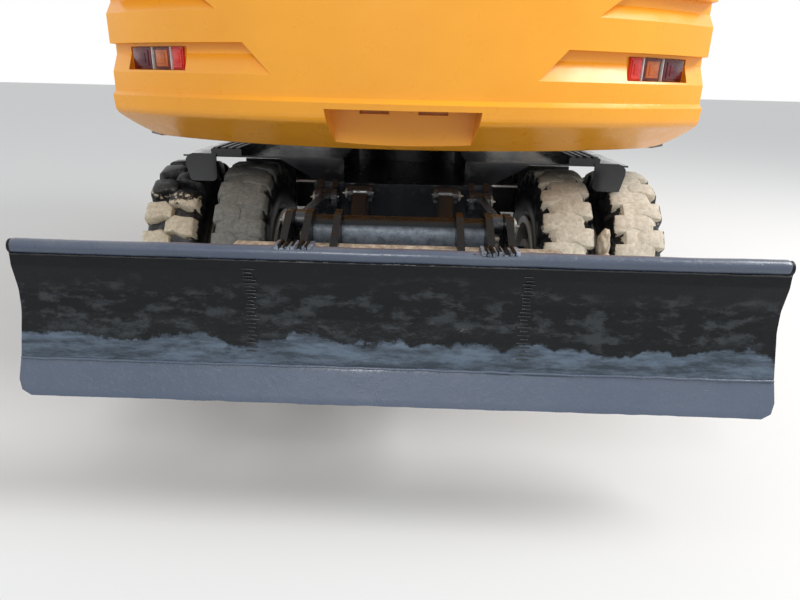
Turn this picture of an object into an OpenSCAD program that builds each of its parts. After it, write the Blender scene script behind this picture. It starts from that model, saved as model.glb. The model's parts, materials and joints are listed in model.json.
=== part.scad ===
// Wheeled excavator of the fifteen-tonne class. A road chassis on twin tyres carries a
// raised dozer blade at its rear, and a slewing upper with counterweight, engine house, cab,
// boom, arm and bucket. X is to the right, Y to the front and Z up, in millimetres.
// The origin lies on the ground under the slewing axis.

/* [Wheels] */
// Outside diameter of a tyre, over its lugs
tyre_d = 1050; // [980:10:1080]
// Width of one tyre
tyre_w = 270; // [230:5:280]
// Distance between the middles of two twin tyres
twin_pitch = 325; // [310:5:345]
// Half the track, to the middle of the outer tyre
half_track = 1105; // [1080:5:1130]
// Diameter of the rim
rim_d = 508; // [480:4:540]
// Depth of the tread between its lugs
tread_h = 40; // [28:1:46]
// Number of lugs in each of a tyre's two rows
tread_count = 22; // [16:1:24]
// Place of the rear axle
rear_axle_y = -1180; // [-1220:10:-1150]
// Place of the front axle
front_axle_y = 1520; // [1490:10:1580]
// Distance of a steering kingpin from the middle
kingpin_x = 590; // [570:5:600]

/* [Chassis] */
// Half the width of the chassis frame
frame_half_w = 290; // [260:5:300]
// Height of the frame's top plate
frame_top_z = 1000; // [980:5:1020]
// Height of the frame's underside
frame_low_z = 600; // [560:5:640]
// Rear end plate of the frame
frame_rear_y = -1600; // [-1640:5:-1580]
// Front end plate of the frame
frame_front_y = 1900; // [1860:5:1960]
// Radius of the drum under the slewing ring
drum_r = 560; // [540:5:600]
// Height of the face that carries the slewing ring
ring_seat_z = 1090; // [1080:2:1100]
// Thickness of the lugs that hold pins
lug_t = 25; // [20:1:30]

/* [Dozer blade] */
// Width of the blade
blade_w = 2500; // [2300:10:2600]
// Thickness of the blade's face plate
blade_t = 18; // [12:1:25]
// Length of the four blade links
blade_link = 630; // [600:5:660]
// Slope of the lower blade links, seen from the right
blade_link_slope = 2.7; // [0:0.1:5]
// Distance of a lower blade link from the middle
lower_link_x = 310; // [300:1:320]
// Distance of an upper blade link from the middle
upper_link_x = 343; // [340:1:350]
// Distance of a blade cylinder from the middle
blade_cyl_x = 190; // [180:1:200]
// Height of the lower chassis pins of the blade
blade_pin_z = 560; // [540:5:580]
// Distance from the lower to the upper blade pins
blade_pin_rise = 400; // [380:5:420]

/* [Upper] */
// Height of the upper's underside
upper_z = 1200; // [1196:1:1220]
// Width of the upper
upper_w = 2490; // [2400:10:2520]
// Radius that the tail sweeps
tail_r = 2100; // [2060:5:2140]
// Thickness of the deck plate
deck_t = 40; // [30:1:50]
// Height of the counterweight's top
weight_top_z = 1960; // [1920:5:2000]
// Front face of the counterweight
weight_front_y = -1480; // [-1520:5:-1450]
// Height of the engine house
house_top_z = 2260; // [2200:5:2320]
// Front of the engine house
house_front_y = -480; // [-520:5:-460]
// Thickness of doors and hood
panel_t = 30; // [25:1:40]

/* [Cab] */
// Distance of the cab's inner wall from the middle
cab_in_x = 360; // [350:2:400]
// Rear face of the cab
cab_rear_y = -400; // [-420:5:-380]
// Length of the cab
cab_len = 1740; // [1680:5:1760]
// Height of the cab roof
cab_top_z = 3100; // [3000:5:3150]
// Thickness of the cab walls
cab_t = 45; // [35:1:55]

/* [Boom] */
// Place and height of the pin at the boom's foot
foot_y = 250; // [230:5:270]
foot_z = 1850; // [1830:5:1870]
// Length of the boom from pin to pin
boom_len = 4600; // [4400:10:4700]
// Slope of the line from pin to pin
boom_slope = 18.5; // [17:0.5:20]
// Width of the boom
boom_w = 300; // [280:5:310]
// Distance of a boom cylinder from the middle
boom_cyl_x = 268; // [262:1:275]

/* [Arm and bucket] */
// Length of the arm from pin to pin
arm_len = 2300; // [2200:10:2350]
// Slope of the arm
arm_slope = -98; // [-102:0.5:-96]
// Width of the arm
arm_w = 250; // [230:5:260]
// Radius of the bucket to its tooth tips
bucket_r = 1300; // [1260:10:1320]
// Slope of the line from the bucket pin to the tooth tips
bucket_slope = 200; // [197:0.5:203]
// Width of the bucket
bucket_w = 900; // [700:10:1000]

/* [Hidden] */

$fn = 48;
paint = "orange";
dark = [0.12, 0.12, 0.13];
steel = [0.78, 0.79, 0.8];

// Clearances
fit = 0.4;         // round a pin
side_gap = 1.5;    // beside an eye
door_gap = 6;      // round a door
lug_reach = 34;    // from an eye's rim to the barrel behind it
seat_gap = 0.3;    // between pieces that rest on each other

axle_z = tyre_d / 2;
hub_r = 150;
flange_x = half_track - twin_pitch / 2;
upper_half = upper_w / 2;
deck_top = upper_z + deck_t;

// Outlines. Rows are [first, second, fillet radius].
function unit(v) = v / norm(v);
function corner(p, a, b, r, n) =
    let (
        u = unit(a - p), v = unit(b - p), half = acos(u * v) / 2,
        c = p + unit(u + v) * r / sin(half),
        s = p + u * r / tan(half), e = p + v * r / tan(half),
        from = atan2(s.y - c.y, s.x - c.x), to = atan2(e.y - c.y, e.x - c.x),
        sweep = (to - from + 540) % 360 - 180
    )
    [for (i = [0:n]) c + r * [cos(from + sweep * i / n), sin(from + sweep * i / n)]];
function rounded(rows, n = 5) = [
    for (
        i = [0:len(rows) - 1],
        q = let (
            p = [rows[i].x, rows[i].y],
            a = rows[(i + len(rows) - 1) % len(rows)], b = rows[(i + 1) % len(rows)]
        )
        rows[i][2] > 0 ? corner(p, [a.x, a.y], [b.x, b.y], rows[i][2], n) : [p]
    ) q
];
function polar(r, a) = r * [cos(a), sin(a)];
function turned(p, a) = [p.x * cos(a) - p.y * sin(a), p.x * sin(a) + p.y * cos(a)];
function angle_of(v) = atan2(v.y, v.x);

// Plates and slabs. An outline in Y and Z, spread across X.
module slab(x0, x1, outline) {
    translate([x0, 0, 0]) rotate([90, 0, 90]) linear_extrude(x1 - x0) polygon(outline);
}
module plate_at(x, t, outline) { slab(x - t / 2, x + t / 2, outline); }
// An outline in X and Z, spread along Y.
module wall(y0, y1, outline) {
    translate([0, y1, 0]) rotate([90, 0, 0]) linear_extrude(y1 - y0) polygon(outline);
}
module block(x0, x1, y0, y1, z0, z1) {
    translate([x0, y0, z0]) cube([x1 - x0, y1 - y0, z1 - z0]);
}
// A round bar across the machine, at [y, z]
module bar(p, r, x0, x1) {
    translate([x0, p.x, p.y]) rotate([0, 90, 0]) cylinder(r = r, h = x1 - x0);
}
module pair_bar(p, r, x, half) { for (s = [-1, 1]) bar(p, r, s * x - half, s * x + half); }
// A round bar between two points
module rod(a, b, r) {
    v = b - a;
    translate(a) rotate([0, acos(v.z / norm(v)), atan2(v.y, v.x)]) cylinder(r = r, h = norm(v));
}
// A ring across the machine
module ring(p, r, hole_r, x0, x1) {
    difference() {
        bar(p, r, x0, x1);
        bar(p, hole_r, x0 - 1, x1 + 1);
    }
}
// A child drawn along +Y is turned to slope a and starts at p
module along(p, a) { translate([0, p.x, p.y]) rotate([a, 0, 0]) children(); }

// A cylinder's barrel along +Y, with its eye at the origin
module barrel(x, r, len, eye_r, eye_half, pin_r) {
    neck = eye_r + lug_reach;
    difference() {
        union() {
            bar([0, 0], eye_r, x - eye_half, x + eye_half);
            block(x - eye_half, x + eye_half, 0, neck, -eye_r * 0.7, eye_r * 0.7);
            translate([x, neck, 0]) rotate([-90, 0, 0]) cylinder(r = r, h = len - neck);
            translate([x, len - r * 0.9, 0]) rotate([-90, 0, 0]) cylinder(r = r * 1.12, h = r * 0.9);
            // Feed pipe along the barrel
            translate([x, neck + 10, r * 0.95]) rotate([-90, 0, 0]) cylinder(r = r * 0.16, h = len - neck - 40);
        }
        bar([0, 0], pin_r + fit, x - eye_half - 1, x + eye_half + 1);
        translate([x, neck + 25, 0]) rotate([-90, 0, 0]) cylinder(r = r * 0.56 + fit, h = len);
    }
}
// The rod of that cylinder, with its eye at total length
module ram(x, r, total, inside, eye_r, eye_half, stub_r, stub_half) {
    translate([x, inside, 0]) rotate([-90, 0, 0]) cylinder(r = r * 0.56, h = total - inside);
    bar([total, 0], eye_r, x - eye_half, x + eye_half);
    bar([total, 0], stub_r, x - stub_half, x + stub_half);
}

// Wheels. A tyre's outline under its tread, in rows of [radius, place across, fillet].
tread_r = tyre_d / 2;
floor_r = tread_r - tread_h;
shoulder_r = tread_r * 0.875;
carcass_profile = rounded([
    [rim_d / 2, -tyre_w * 0.37, 0], [rim_d / 2 + 30, -tyre_w * 0.43, 12],
    [tread_r * 0.76, -tyre_w / 2, 40], [shoulder_r, -tyre_w * 0.47, 26],
    [floor_r - 3, -tyre_w * 0.36, 20], [floor_r - 3, tyre_w * 0.36, 20],
    [shoulder_r, tyre_w * 0.47, 26], [tread_r * 0.76, tyre_w / 2, 40],
    [rim_d / 2 + 30, tyre_w * 0.43, 12], [rim_d / 2, tyre_w * 0.37, 0]
], 2);
// One lug along the tread, in rows of [radius, share of the pitch]
lug_rows = [[floor_r, -0.05], [tread_r, 0], [tread_r, 0.56], [floor_r, 0.61]];
lug_ring = [
    for (i = [0:tread_count - 1], row = lug_rows) polar(row[0], (i + row[1]) * 360 / tread_count)
];
// The band that the lugs fill, with its worn shoulders
tread_band = [
    [tread_r * 0.7, -tyre_w * 0.485], [tread_r * 0.93, -tyre_w * 0.485], [tread_r + 1, -tyre_w * 0.4],
    [tread_r + 1, tyre_w * 0.4], [tread_r * 0.93, tyre_w * 0.485], [tread_r * 0.7, tyre_w * 0.485]
];
module lug_row(turn, z0, z1) {
    rotate([0, 0, turn]) translate([0, 0, z0]) linear_extrude(z1 - z0) polygon(lug_ring);
}
// The two rows stand half a pitch apart
module tyre() {
    rotate([0, 90, 0]) union() {
        rotate_extrude() polygon(carcass_profile);
        intersection() {
            union() {
                lug_row(0, 0, tyre_w / 2);
                lug_row(180 / tread_count, -tyre_w / 2, 0);
            }
            rotate_extrude() polygon(tread_band);
        }
    }
}
module tyre_pair(side, y) {
    color(dark) for (i = [0, 1])
        translate([side * (half_track - i * twin_pitch), y, axle_z]) tyre();
}
rim_r = rim_d / 2 - seat_gap;
rim_t = 14;
rim_half = tyre_w * 0.42;
disc_x = 24;
rim_profile = rounded([
    [rim_r, -rim_half, 0], [rim_r + 22, -rim_half - 10, 0], [rim_r + 22, -rim_half - 18, 0],
    [rim_r - rim_t, -rim_half - 18, 0], [rim_r - rim_t - 10, 0, 60],
    [rim_r - rim_t, rim_half + 18, 0], [rim_r + 22, rim_half + 18, 0],
    [rim_r + 22, rim_half + 10, 0], [rim_r, rim_half, 0]
], 3);
// One rim with its spider disc towards the twin's middle; out is the disc's side
module rim(out) {
    color("silver") rotate([0, 90, 0]) {
        rotate_extrude() polygon(rim_profile);
        translate([0, 0, out * (twin_pitch / 2 - disc_x / 2) - disc_x / 2])
            cylinder(r = 175, h = disc_x);
        wheel_bell(out);
    }
}
// Cone-like bell from the rim's bed to its disc
module wheel_bell(out) {
    mirror([0, 0, out > 0 ? 0 : 1]) rotate_extrude() polygon([
        [rim_r - rim_t - 12, rim_half - 50], [rim_r - rim_t - 2, rim_half - 20],
        [176, twin_pitch / 2], [160, twin_pitch / 2], [160, twin_pitch / 2 - disc_x]
    ]);
}
module rim_pair(side, y) {
    translate([side * flange_x, y, axle_z]) {
        translate([side * twin_pitch / 2, 0, 0]) rim(-side);
        translate([-side * twin_pitch / 2, 0, 0]) rim(side);
    }
}
module tyres_front_left() { tyre_pair(-1, front_axle_y); }
module tyres_front_right() { tyre_pair(1, front_axle_y); }
module tyres_rear_left() { tyre_pair(-1, rear_axle_y); }
module tyres_rear_right() { tyre_pair(1, rear_axle_y); }
// The rims of a pair and the hub's planetary cover that they are bolted to
hub_in_x = 655;
hub_out_x = half_track + 60;
module hub(side, y) {
    color(dark) translate([0, y, axle_z]) {
        a = min(side * (hub_in_x + seat_gap), side * hub_out_x);
        b = max(side * (hub_in_x + seat_gap), side * hub_out_x);
        bar([0, 0], hub_r, a, b);
        bar([0, 0], hub_r * 0.62, min(side * (hub_out_x - 5), side * (hub_out_x + 25)),
            max(side * (hub_out_x - 5), side * (hub_out_x + 25)));
    }
}
module rims(side, y) { rim_pair(side, y); hub(side, y); }
module rims_front_left() { rims(-1, front_axle_y); }
module rims_front_right() { rims(1, front_axle_y); }
module rims_rear_left() { rims(-1, rear_axle_y); }
module rims_rear_right() { rims(1, rear_axle_y); }

// Chassis
saddle_z = axle_z + 165;
frame_outline = rounded([
    [frame_rear_y, frame_low_z - 70, 20], [frame_rear_y, frame_top_z, 0],
    [760, frame_top_z, 200], [1150, 850, 200], [frame_front_y, 810, 30],
    [frame_front_y, 640, 30], [front_axle_y + 230, 640, 20], [front_axle_y + 170, saddle_z, 20],
    [front_axle_y - 170, saddle_z, 20], [front_axle_y - 250, frame_low_z + 20, 40],
    [rear_axle_y + 300, frame_low_z + 20, 40], [rear_axle_y + 190, saddle_z, 20],
    [rear_axle_y - 170, saddle_z, 20], [rear_axle_y - 240, frame_low_z - 70, 20]
]);
blade_p1 = [frame_rear_y - 42, blade_pin_z];
blade_p2 = blade_p1 + [0, blade_pin_rise];
blade_q1 = blade_p1 + polar(blade_link, 180 - blade_link_slope);
blade_q2 = blade_q1 + [0, blade_pin_rise];
blade_c0 = [frame_rear_y - 62, frame_top_z - 15];
blade_eye_along = 490;
blade_eye_up = 96;
blade_c1 = blade_p1 + turned([blade_eye_along, -blade_eye_up], 180 - blade_link_slope);
blade_pin_r = 24;
blade_lug_r = 46;
// A lug round pin p, with its root on the plane y = root
function lug_outline(p, r, root, spread) = concat(
    [[root, p.y + spread], [root, p.y - spread]],
    [for (i = [0:8]) p + polar(r, -90 + (root > p.x ? -1 : 1) * i * 22.5)]
);
module chassis_lugs(p, x, half) {
    for (s = [-1, 1], k = [-1, 1])
        plate_at(s * x + k * (half + lug_t / 2), lug_t, lug_outline(p, blade_lug_r, frame_rear_y + 5, 75));
    pair_bar(p, blade_pin_r, x, half + lug_t + 8);
}
link_half = 32;
module chassis_frame() {
    color(dark) {
        slab(-frame_half_w, frame_half_w, frame_outline);
        translate([0, 0, frame_low_z + 60]) cylinder(r = drum_r, h = ring_seat_z - frame_low_z - 60);
        translate([0, 0, ring_seat_z - 30]) cylinder(r = drum_r + 40, h = 30);
        // Outriggers from the drum to the steps and mudguards
        for (s = [-1, 1], y = [-430, 430])
            block(min(s * 280, s * box_in_x), max(s * 280, s * box_in_x), y - 40, y + 40,
                frame_low_z + 80, frame_low_z + 240);
        // Rear cross plate that carries the blade lugs
        block(-410, 410, frame_rear_y, frame_rear_y + 30, frame_low_z - 90, frame_top_z + 20);
        chassis_lugs(blade_p1, lower_link_x, link_half + side_gap);
        chassis_lugs(blade_p2, upper_link_x, 20 + side_gap);
        for (s = [-1, 1], k = [-1, 1])
            plate_at(s * blade_cyl_x + k * (32 + side_gap + 10), 20,
                lug_outline(blade_c0, 40, frame_rear_y + 5, 30));
        pair_bar(blade_c0, 20, blade_cyl_x, 32 + side_gap + 26);
        front_eye();
    }
}
// Towing eye plate on the frame's front end, for an upright pin
tow_r = 24;
tow_z = [695, 735];
module front_eye() {
    difference() {
        slab_xy(rounded([
            [-110, frame_front_y - 10, 0], [-60, frame_front_y + 110, 50],
            [60, frame_front_y + 110, 50], [110, frame_front_y - 10, 0]
        ]), tow_z[0], tow_z[1]);
        translate([0, frame_front_y + 50, tow_z[0] - 1]) cylinder(r = tow_r, h = tow_z[1] - tow_z[0] + 2);
    }
}
module slew_ring() {
    color(dark) difference() {
        translate([0, 0, ring_seat_z]) cylinder(r = drum_r - 10, h = upper_z - 8 - ring_seat_z);
        translate([0, 0, ring_seat_z - 1]) cylinder(r = drum_r - 110, h = upper_z - ring_seat_z);
    }
}

// Axles. Rows of the axle housing are [radius, distance from the middle].
housing_rows = [[160, 0], [160, 90], [110, 190], [85, 260], [85, 520], [110, 560]];
module housing(y, end_x) {
    translate([0, y, axle_z]) for (s = [0, 1]) mirror([s, 0, 0]) rotate([0, 90, 0])
        rotate_extrude() polygon(concat([[0, 0]], housing_rows, [[110, end_x], [0, end_x]]));
}
module axle_nose(y, way) {
    translate([0, y, axle_z]) rotate([-90 * way, 0, 0]) cylinder(r = 100, h = nose_len);
}
module rear_axle() {
    color(dark) {
        housing(rear_axle_y, hub_in_x);
        axle_nose(rear_axle_y, 1);
        for (s = [-1, 1])
            block(s * 240 - 45, s * 240 + 45, rear_axle_y - 110, rear_axle_y + 110, axle_z, saddle_z - seat_gap);
    }
}
nose_len = 235;
fork_x = kingpin_x - 70;
module front_axle() {
    color(dark) {
        translate([0, front_axle_y, axle_z]) {
            for (s = [0, 1]) mirror([s, 0, 0]) rotate([0, 90, 0])
                rotate_extrude() polygon([[0, 0], [150, 0], [150, 90], [100, 190], [85, 250],
                    [85, fork_x - 60], [0, fork_x - 60]]);
        }
        axle_nose(front_axle_y, -1);
        // Kingpin forks
        for (s = [-1, 1]) {
            for (k = [-1, 1])
                block(min(s * (fork_x - 110), s * (kingpin_x + 30)), max(s * (fork_x - 110), s * (kingpin_x + 30)),
                    front_axle_y - 55, front_axle_y + 55,
                    axle_z + (k > 0 ? 105 : -140), axle_z + (k > 0 ? 140 : -105));
            block(min(s * (fork_x - 110), s * (fork_x - 50)), max(s * (fork_x - 110), s * (fork_x - 50)),
                front_axle_y - 75, front_axle_y + 75, axle_z - 140, axle_z + 140);
            translate([s * kingpin_x, front_axle_y, axle_z - 150]) cylinder(r = 30, h = 300);
        }
        // Pivot pin of the swinging axle and its block
        translate([0, front_axle_y + 160, axle_z + 90]) rotate([90, 0, 0]) cylinder(r = 60, h = 320);
        block(-150, 150, front_axle_y - 90, front_axle_y + 90, axle_z, saddle_z - seat_gap);
        // Steering cylinder across the front of the axle
        ring([front_axle_y + steer_arm_y, axle_z], 42, steer_rod_r + fit, -190, 190);
        for (s = [-1, 1])
            block(s * 120 - 20, s * 120 + 20, front_axle_y + 60, front_axle_y + steer_arm_y - 32, axle_z - 40, axle_z + 40);
    }
}
steer_arm_y = 195;
ball_r = 30;
steer_rod_r = 20;
module knuckle(side) {
    color(dark) translate([side * kingpin_x, front_axle_y, 0]) difference() {
        union() {
            translate([0, 0, axle_z - 103]) cylinder(r = 62, h = 206);
            bar([0, axle_z], 88, min(0, side * (hub_in_x - kingpin_x)), max(0, side * (hub_in_x - kingpin_x)));
            // Steering arm
            slab_xy([[-40, 0], [-ball_r, steer_arm_y], [-20, steer_arm_y + ball_r],
                [20, steer_arm_y + ball_r], [ball_r, steer_arm_y], [40, 0]], axle_z - 64, axle_z - ball_r - seat_gap);
        }
        translate([0, 0, axle_z - 200]) cylinder(r = 30 + fit, h = 400);
    }
}
module slab_xy(outline, z0, z1) { translate([0, 0, z0]) linear_extrude(z1 - z0) polygon(outline); }
module knuckle_left() { knuckle(-1); }
module knuckle_right() { knuckle(1); }
// Rod of the steering cylinder with the two tie rods
module steering_rod() {
    color("silver") {
        bar([front_axle_y + steer_arm_y, axle_z], steer_rod_r, -kingpin_x, kingpin_x);
        for (s = [-1, 1]) translate([s * kingpin_x, front_axle_y + steer_arm_y, axle_z - ball_r])
            cylinder(r = ball_r - 2, h = 2 * ball_r);
    }
}
module drive_line() {
    color(dark) {
        // Transfer gearbox with the travel motor, hung under the frame
        block(-170, 170, -250, 130, axle_z - 120, frame_low_z - seat_gap);
        translate([60, 130, axle_z - 25]) rotate([-90, 0, 0]) cylinder(r = 90, h = 220);
        // Propeller shafts to both axles
        for (y = [[-250, rear_axle_y + nose_len + seat_gap], [130, front_axle_y - nose_len - seat_gap]])
            translate([0, min(y[0], y[1]), axle_z]) rotate([-90, 0, 0]) cylinder(r = 38, h = abs(y[1] - y[0]));
    }
}

// Steps and boxes on both sides, between the wheels
box_front_y = 720;
box_rear_y = -540;
box_in_x = 700;
box_out_x = half_track - 95;
step_out_x = half_track + 75;
step_z = [430, 740];
module side_steps() {
    color(dark) for (s = [0, 1]) mirror([s, 0, 0]) {
        // Box behind the steps
        block(box_in_x, box_out_x, box_rear_y, box_front_y, 560, 990);
        for (z = step_z)
            block(box_in_x, step_out_x, -90, 430, z, z + 35);
        for (y = [-90, 410])
            block(box_in_x, step_out_x, y, y + 20, step_z[0], step_z[1] + 35);
    }
}

// Mudguards over the rear wheels, each with a ribbed beam and a flap at its rear end
guard_z = 1104;
guard_t = 8;
guard_rear_y = rear_axle_y - 270;
guard_front_y = -600;
guard_out_x = half_track - 45;
beam_x = [half_track - twin_pitch, half_track - twin_pitch + 145];
beam_h = 30;
rib_rows = [8, 44, 80, 116];    // from the beam's inner side
rib_w = 18;
gusset_t = 12;
gusset_out_x = flange_x - twin_pitch / 2 - tyre_w / 2 - 25;
module mudguards() {
    beam_z = guard_z + guard_t;
    color(dark) for (s = [0, 1]) mirror([s, 0, 0]) {
        block(frame_half_w + 4, guard_out_x, guard_rear_y, guard_front_y, guard_z, beam_z);
        block(beam_x[0], beam_x[1], guard_rear_y, guard_front_y, beam_z, beam_z + beam_h);
        for (x = rib_rows)
            block(beam_x[0] + x, beam_x[0] + x + rib_w, guard_rear_y, guard_front_y,
                beam_z + beam_h - 1, beam_z + beam_h + 7);
        // Rear flap
        wall(guard_rear_y - 10, guard_rear_y, rounded([
            [beam_x[1] - 25, beam_z + 8, 0], [guard_out_x, beam_z + 8, 40],
            [guard_out_x - 30, beam_z - 122, 20], [beam_x[1] - 20, beam_z - 122, 20]], 3));
        // Flange on the frame's side and the gussets between it and the plate
        block(frame_half_w + seat_gap, frame_half_w + 24, guard_rear_y + 10, guard_front_y,
            frame_top_z - 70, guard_z + 2);
        for (y = [guard_rear_y + 40, guard_front_y - 80])
            wall(y, y + gusset_t, [
                [frame_half_w + 20, frame_top_z - 70], [gusset_out_x, guard_z + 2],
                [frame_half_w + 20, guard_z + 2]]);
    }
}

// Dozer blade
face_rows = [
    // [y from the rear link pin, z from the lower pin, fillet]
    [-258, 355, 0], [-262, 284, 60], [-247, 200, 160], [-253, 128, 160], [-314, -68, 0]
];
function from_q1(rows) = [for (r = rows) [blade_q1.x + r.x, blade_q1.y + r.y, r[2]]];
face_line = from_q1(face_rows);
function shifted(rows, d) = [for (i = [len(rows) - 1:-1:0]) [rows[i].x + d, rows[i].y, rows[i][2]]];
blade_half = blade_w / 2;
blade_lug_x = upper_link_x - 20 - side_gap - lug_t / 2;
stop_x = 330;
stop_half = 55;
stop_z = [for (rise = [350, 364, 378]) blade_q1.y + rise];    // foot, tooth's root, tooth's tip
stop_teeth = 5;
tooth_rows = [[0, 1], [0.25, 2], [0.6, 2], [0.85, 1]];    // share of a tooth, index in stop_z
module blade_sweep() {
    slab(-blade_half, blade_half, rounded(concat(face_line, shifted(face_line, blade_t)), 4));
}
module blade_mouldboard() {
    color(dark) {
        difference() {
            blade_sweep();
            block(-blade_half - 1, blade_half + 1, blade_q1.x - 500, blade_q1.x, blade_q1.y - 200, blade_q1.y - 20);
        }
        // Rolled lip
        bar([blade_q1.x - 244, blade_q1.y + 345], 24, -blade_half, blade_half);
        // Box beams behind the face
        slab(-blade_half + 40, blade_half - 40, [
            [blade_q1.x - 238, blade_q1.y + 60], [blade_q1.x - 120, blade_q1.y + 70],
            [blade_q1.x - 120, blade_q1.y + 150], [blade_q1.x - 238, blade_q1.y + 170]]);
        slab(-540, 540, [
            [blade_q1.x - 244, blade_q1.y + 352], [blade_q1.x - 130, blade_q1.y + 352],
            [blade_q1.x - 130, blade_q1.y + 300], [blade_q1.x - 236, blade_q1.y + 240]]);
        // Lugs of the links
        for (s = [-1, 1], x = [blade_cyl_x + 19, blade_lug_x, 2 * upper_link_x - blade_lug_x])
            plate_at(s * x, lug_t, rounded([
                [blade_q2.x - 240, blade_q2.y - 330, 0], [blade_q2.x - 160, blade_q2.y - 330, 20],
                [blade_q2.x + 44, blade_q2.y - 90, 30], [blade_q2.x + 44, blade_q2.y + 44, 40],
                [blade_q2.x - 60, blade_q2.y + 44, 30], [blade_q2.x - 240, blade_q2.y - 60, 0]]));
        for (s = [-1, 1], k = [-1, 1])
            plate_at(s * lower_link_x + k * (link_half + side_gap + lug_t / 2), lug_t,
                lug_outline(blade_q1, blade_lug_r, blade_q1.x - 275, 60));
        bar(blade_q2, blade_pin_r, -upper_link_x - 60, upper_link_x + 60);
        // Torque tube between the lugs
        bar(blade_q2 - [0, 40], 62, -blade_lug_x, blade_lug_x);
        pair_bar(blade_q1, blade_pin_r, lower_link_x, link_half + lug_t + 8);
        // Stop blocks on the lip, toothed on top
        for (s = [-1, 1])
            wall(blade_q1.x - 262, blade_q1.x - 190, concat(
                [[s * stop_x + stop_half, stop_z[0]], [s * stop_x - stop_half, stop_z[0]]],
                [for (i = [0:stop_teeth - 1], row = tooth_rows) [
                    s * stop_x - stop_half + (i + row[0]) * 2 * stop_half / stop_teeth,
                    stop_z[row[1]]]]));
    }
}
module blade_edge() {
    color(dark) intersection() {
        blade_sweep_thick();
        wall(blade_q1.x - 500, blade_q1.x, rounded([
            [-blade_half, blade_q1.y - 140, 50], [blade_half, blade_q1.y - 140, 50],
            [blade_half, blade_q1.y - 20 - seat_gap, 0],
            [-blade_half, blade_q1.y - 20 - seat_gap, 0]]));
    }
}
module blade_sweep_thick() {
    slab(-blade_half, blade_half, [
        [blade_q1.x - 302, blade_q1.y - 20], [blade_q1.x - 356, blade_q1.y - 140],
        [blade_q1.x - 330, blade_q1.y - 140], [blade_q1.x - 276, blade_q1.y - 20]]);
}
// Lower links: two arms joined by a cross tube with the cylinders' lugs
module blade_lower_links() {
    color(dark) along(blade_p1, 180 - blade_link_slope) {
        for (s = [-1, 1]) difference() {
            union() {
                block(s * lower_link_x - link_half, s * lower_link_x + link_half, 0, blade_link, -38, 38);
                bar([0, 0], blade_lug_r - 4, s * lower_link_x - link_half, s * lower_link_x + link_half);
                bar([blade_link, 0], blade_lug_r - 4, s * lower_link_x - link_half, s * lower_link_x + link_half);
            }
            bar([0, 0], blade_pin_r + fit, s * lower_link_x - 60, s * lower_link_x + 60);
            bar([blade_link, 0], blade_pin_r + fit, s * lower_link_x - 60, s * lower_link_x + 60);
        }
        block(-lower_link_x + link_half, lower_link_x - link_half, blade_eye_along - 45, blade_eye_along + 45, -38, 38);
        for (s = [-1, 1], k = [-1, 1])
            plate_at(s * blade_cyl_x + k * (32 + side_gap + 9), 18, concat(
                [[blade_eye_along + 60, 0], [blade_eye_along - 60, 0]],
                [for (i = [0:8]) [blade_eye_along, -blade_eye_up] + polar(36, 180 + i * 22.5)]));
    }
}
module blade_upper_links() {
    color(dark) along(blade_p2, 180 - blade_link_slope) for (s = [-1, 1]) difference() {
        union() {
            block(s * upper_link_x - 18, s * upper_link_x + 18, 0, blade_link, -26, 26);
            for (y = [0, blade_link]) bar([y, 0], 40, s * upper_link_x - 20, s * upper_link_x + 20);
        }
        for (y = [0, blade_link]) bar([y, 0], blade_pin_r + fit, s * upper_link_x - 60, s * upper_link_x + 60);
    }
}
blade_cyl_len = norm(blade_c1 - blade_c0);
blade_cyl_slope = angle_of(blade_c1 - blade_c0);
blade_barrel_len = blade_cyl_len - 105;
blade_rod_from = 125;
module blade_cylinder_barrels() {
    color(dark) along(blade_c0, blade_cyl_slope) for (s = [-1, 1])
        barrel(s * blade_cyl_x, 46, blade_barrel_len, 38, 32, 20);
}
module blade_cylinder_rods() {
    color("silver") along(blade_c0, blade_cyl_slope) for (s = [-1, 1])
        ram(s * blade_cyl_x, 46, blade_cyl_len, blade_rod_from, 34, 32, 20, 32);
}

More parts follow.
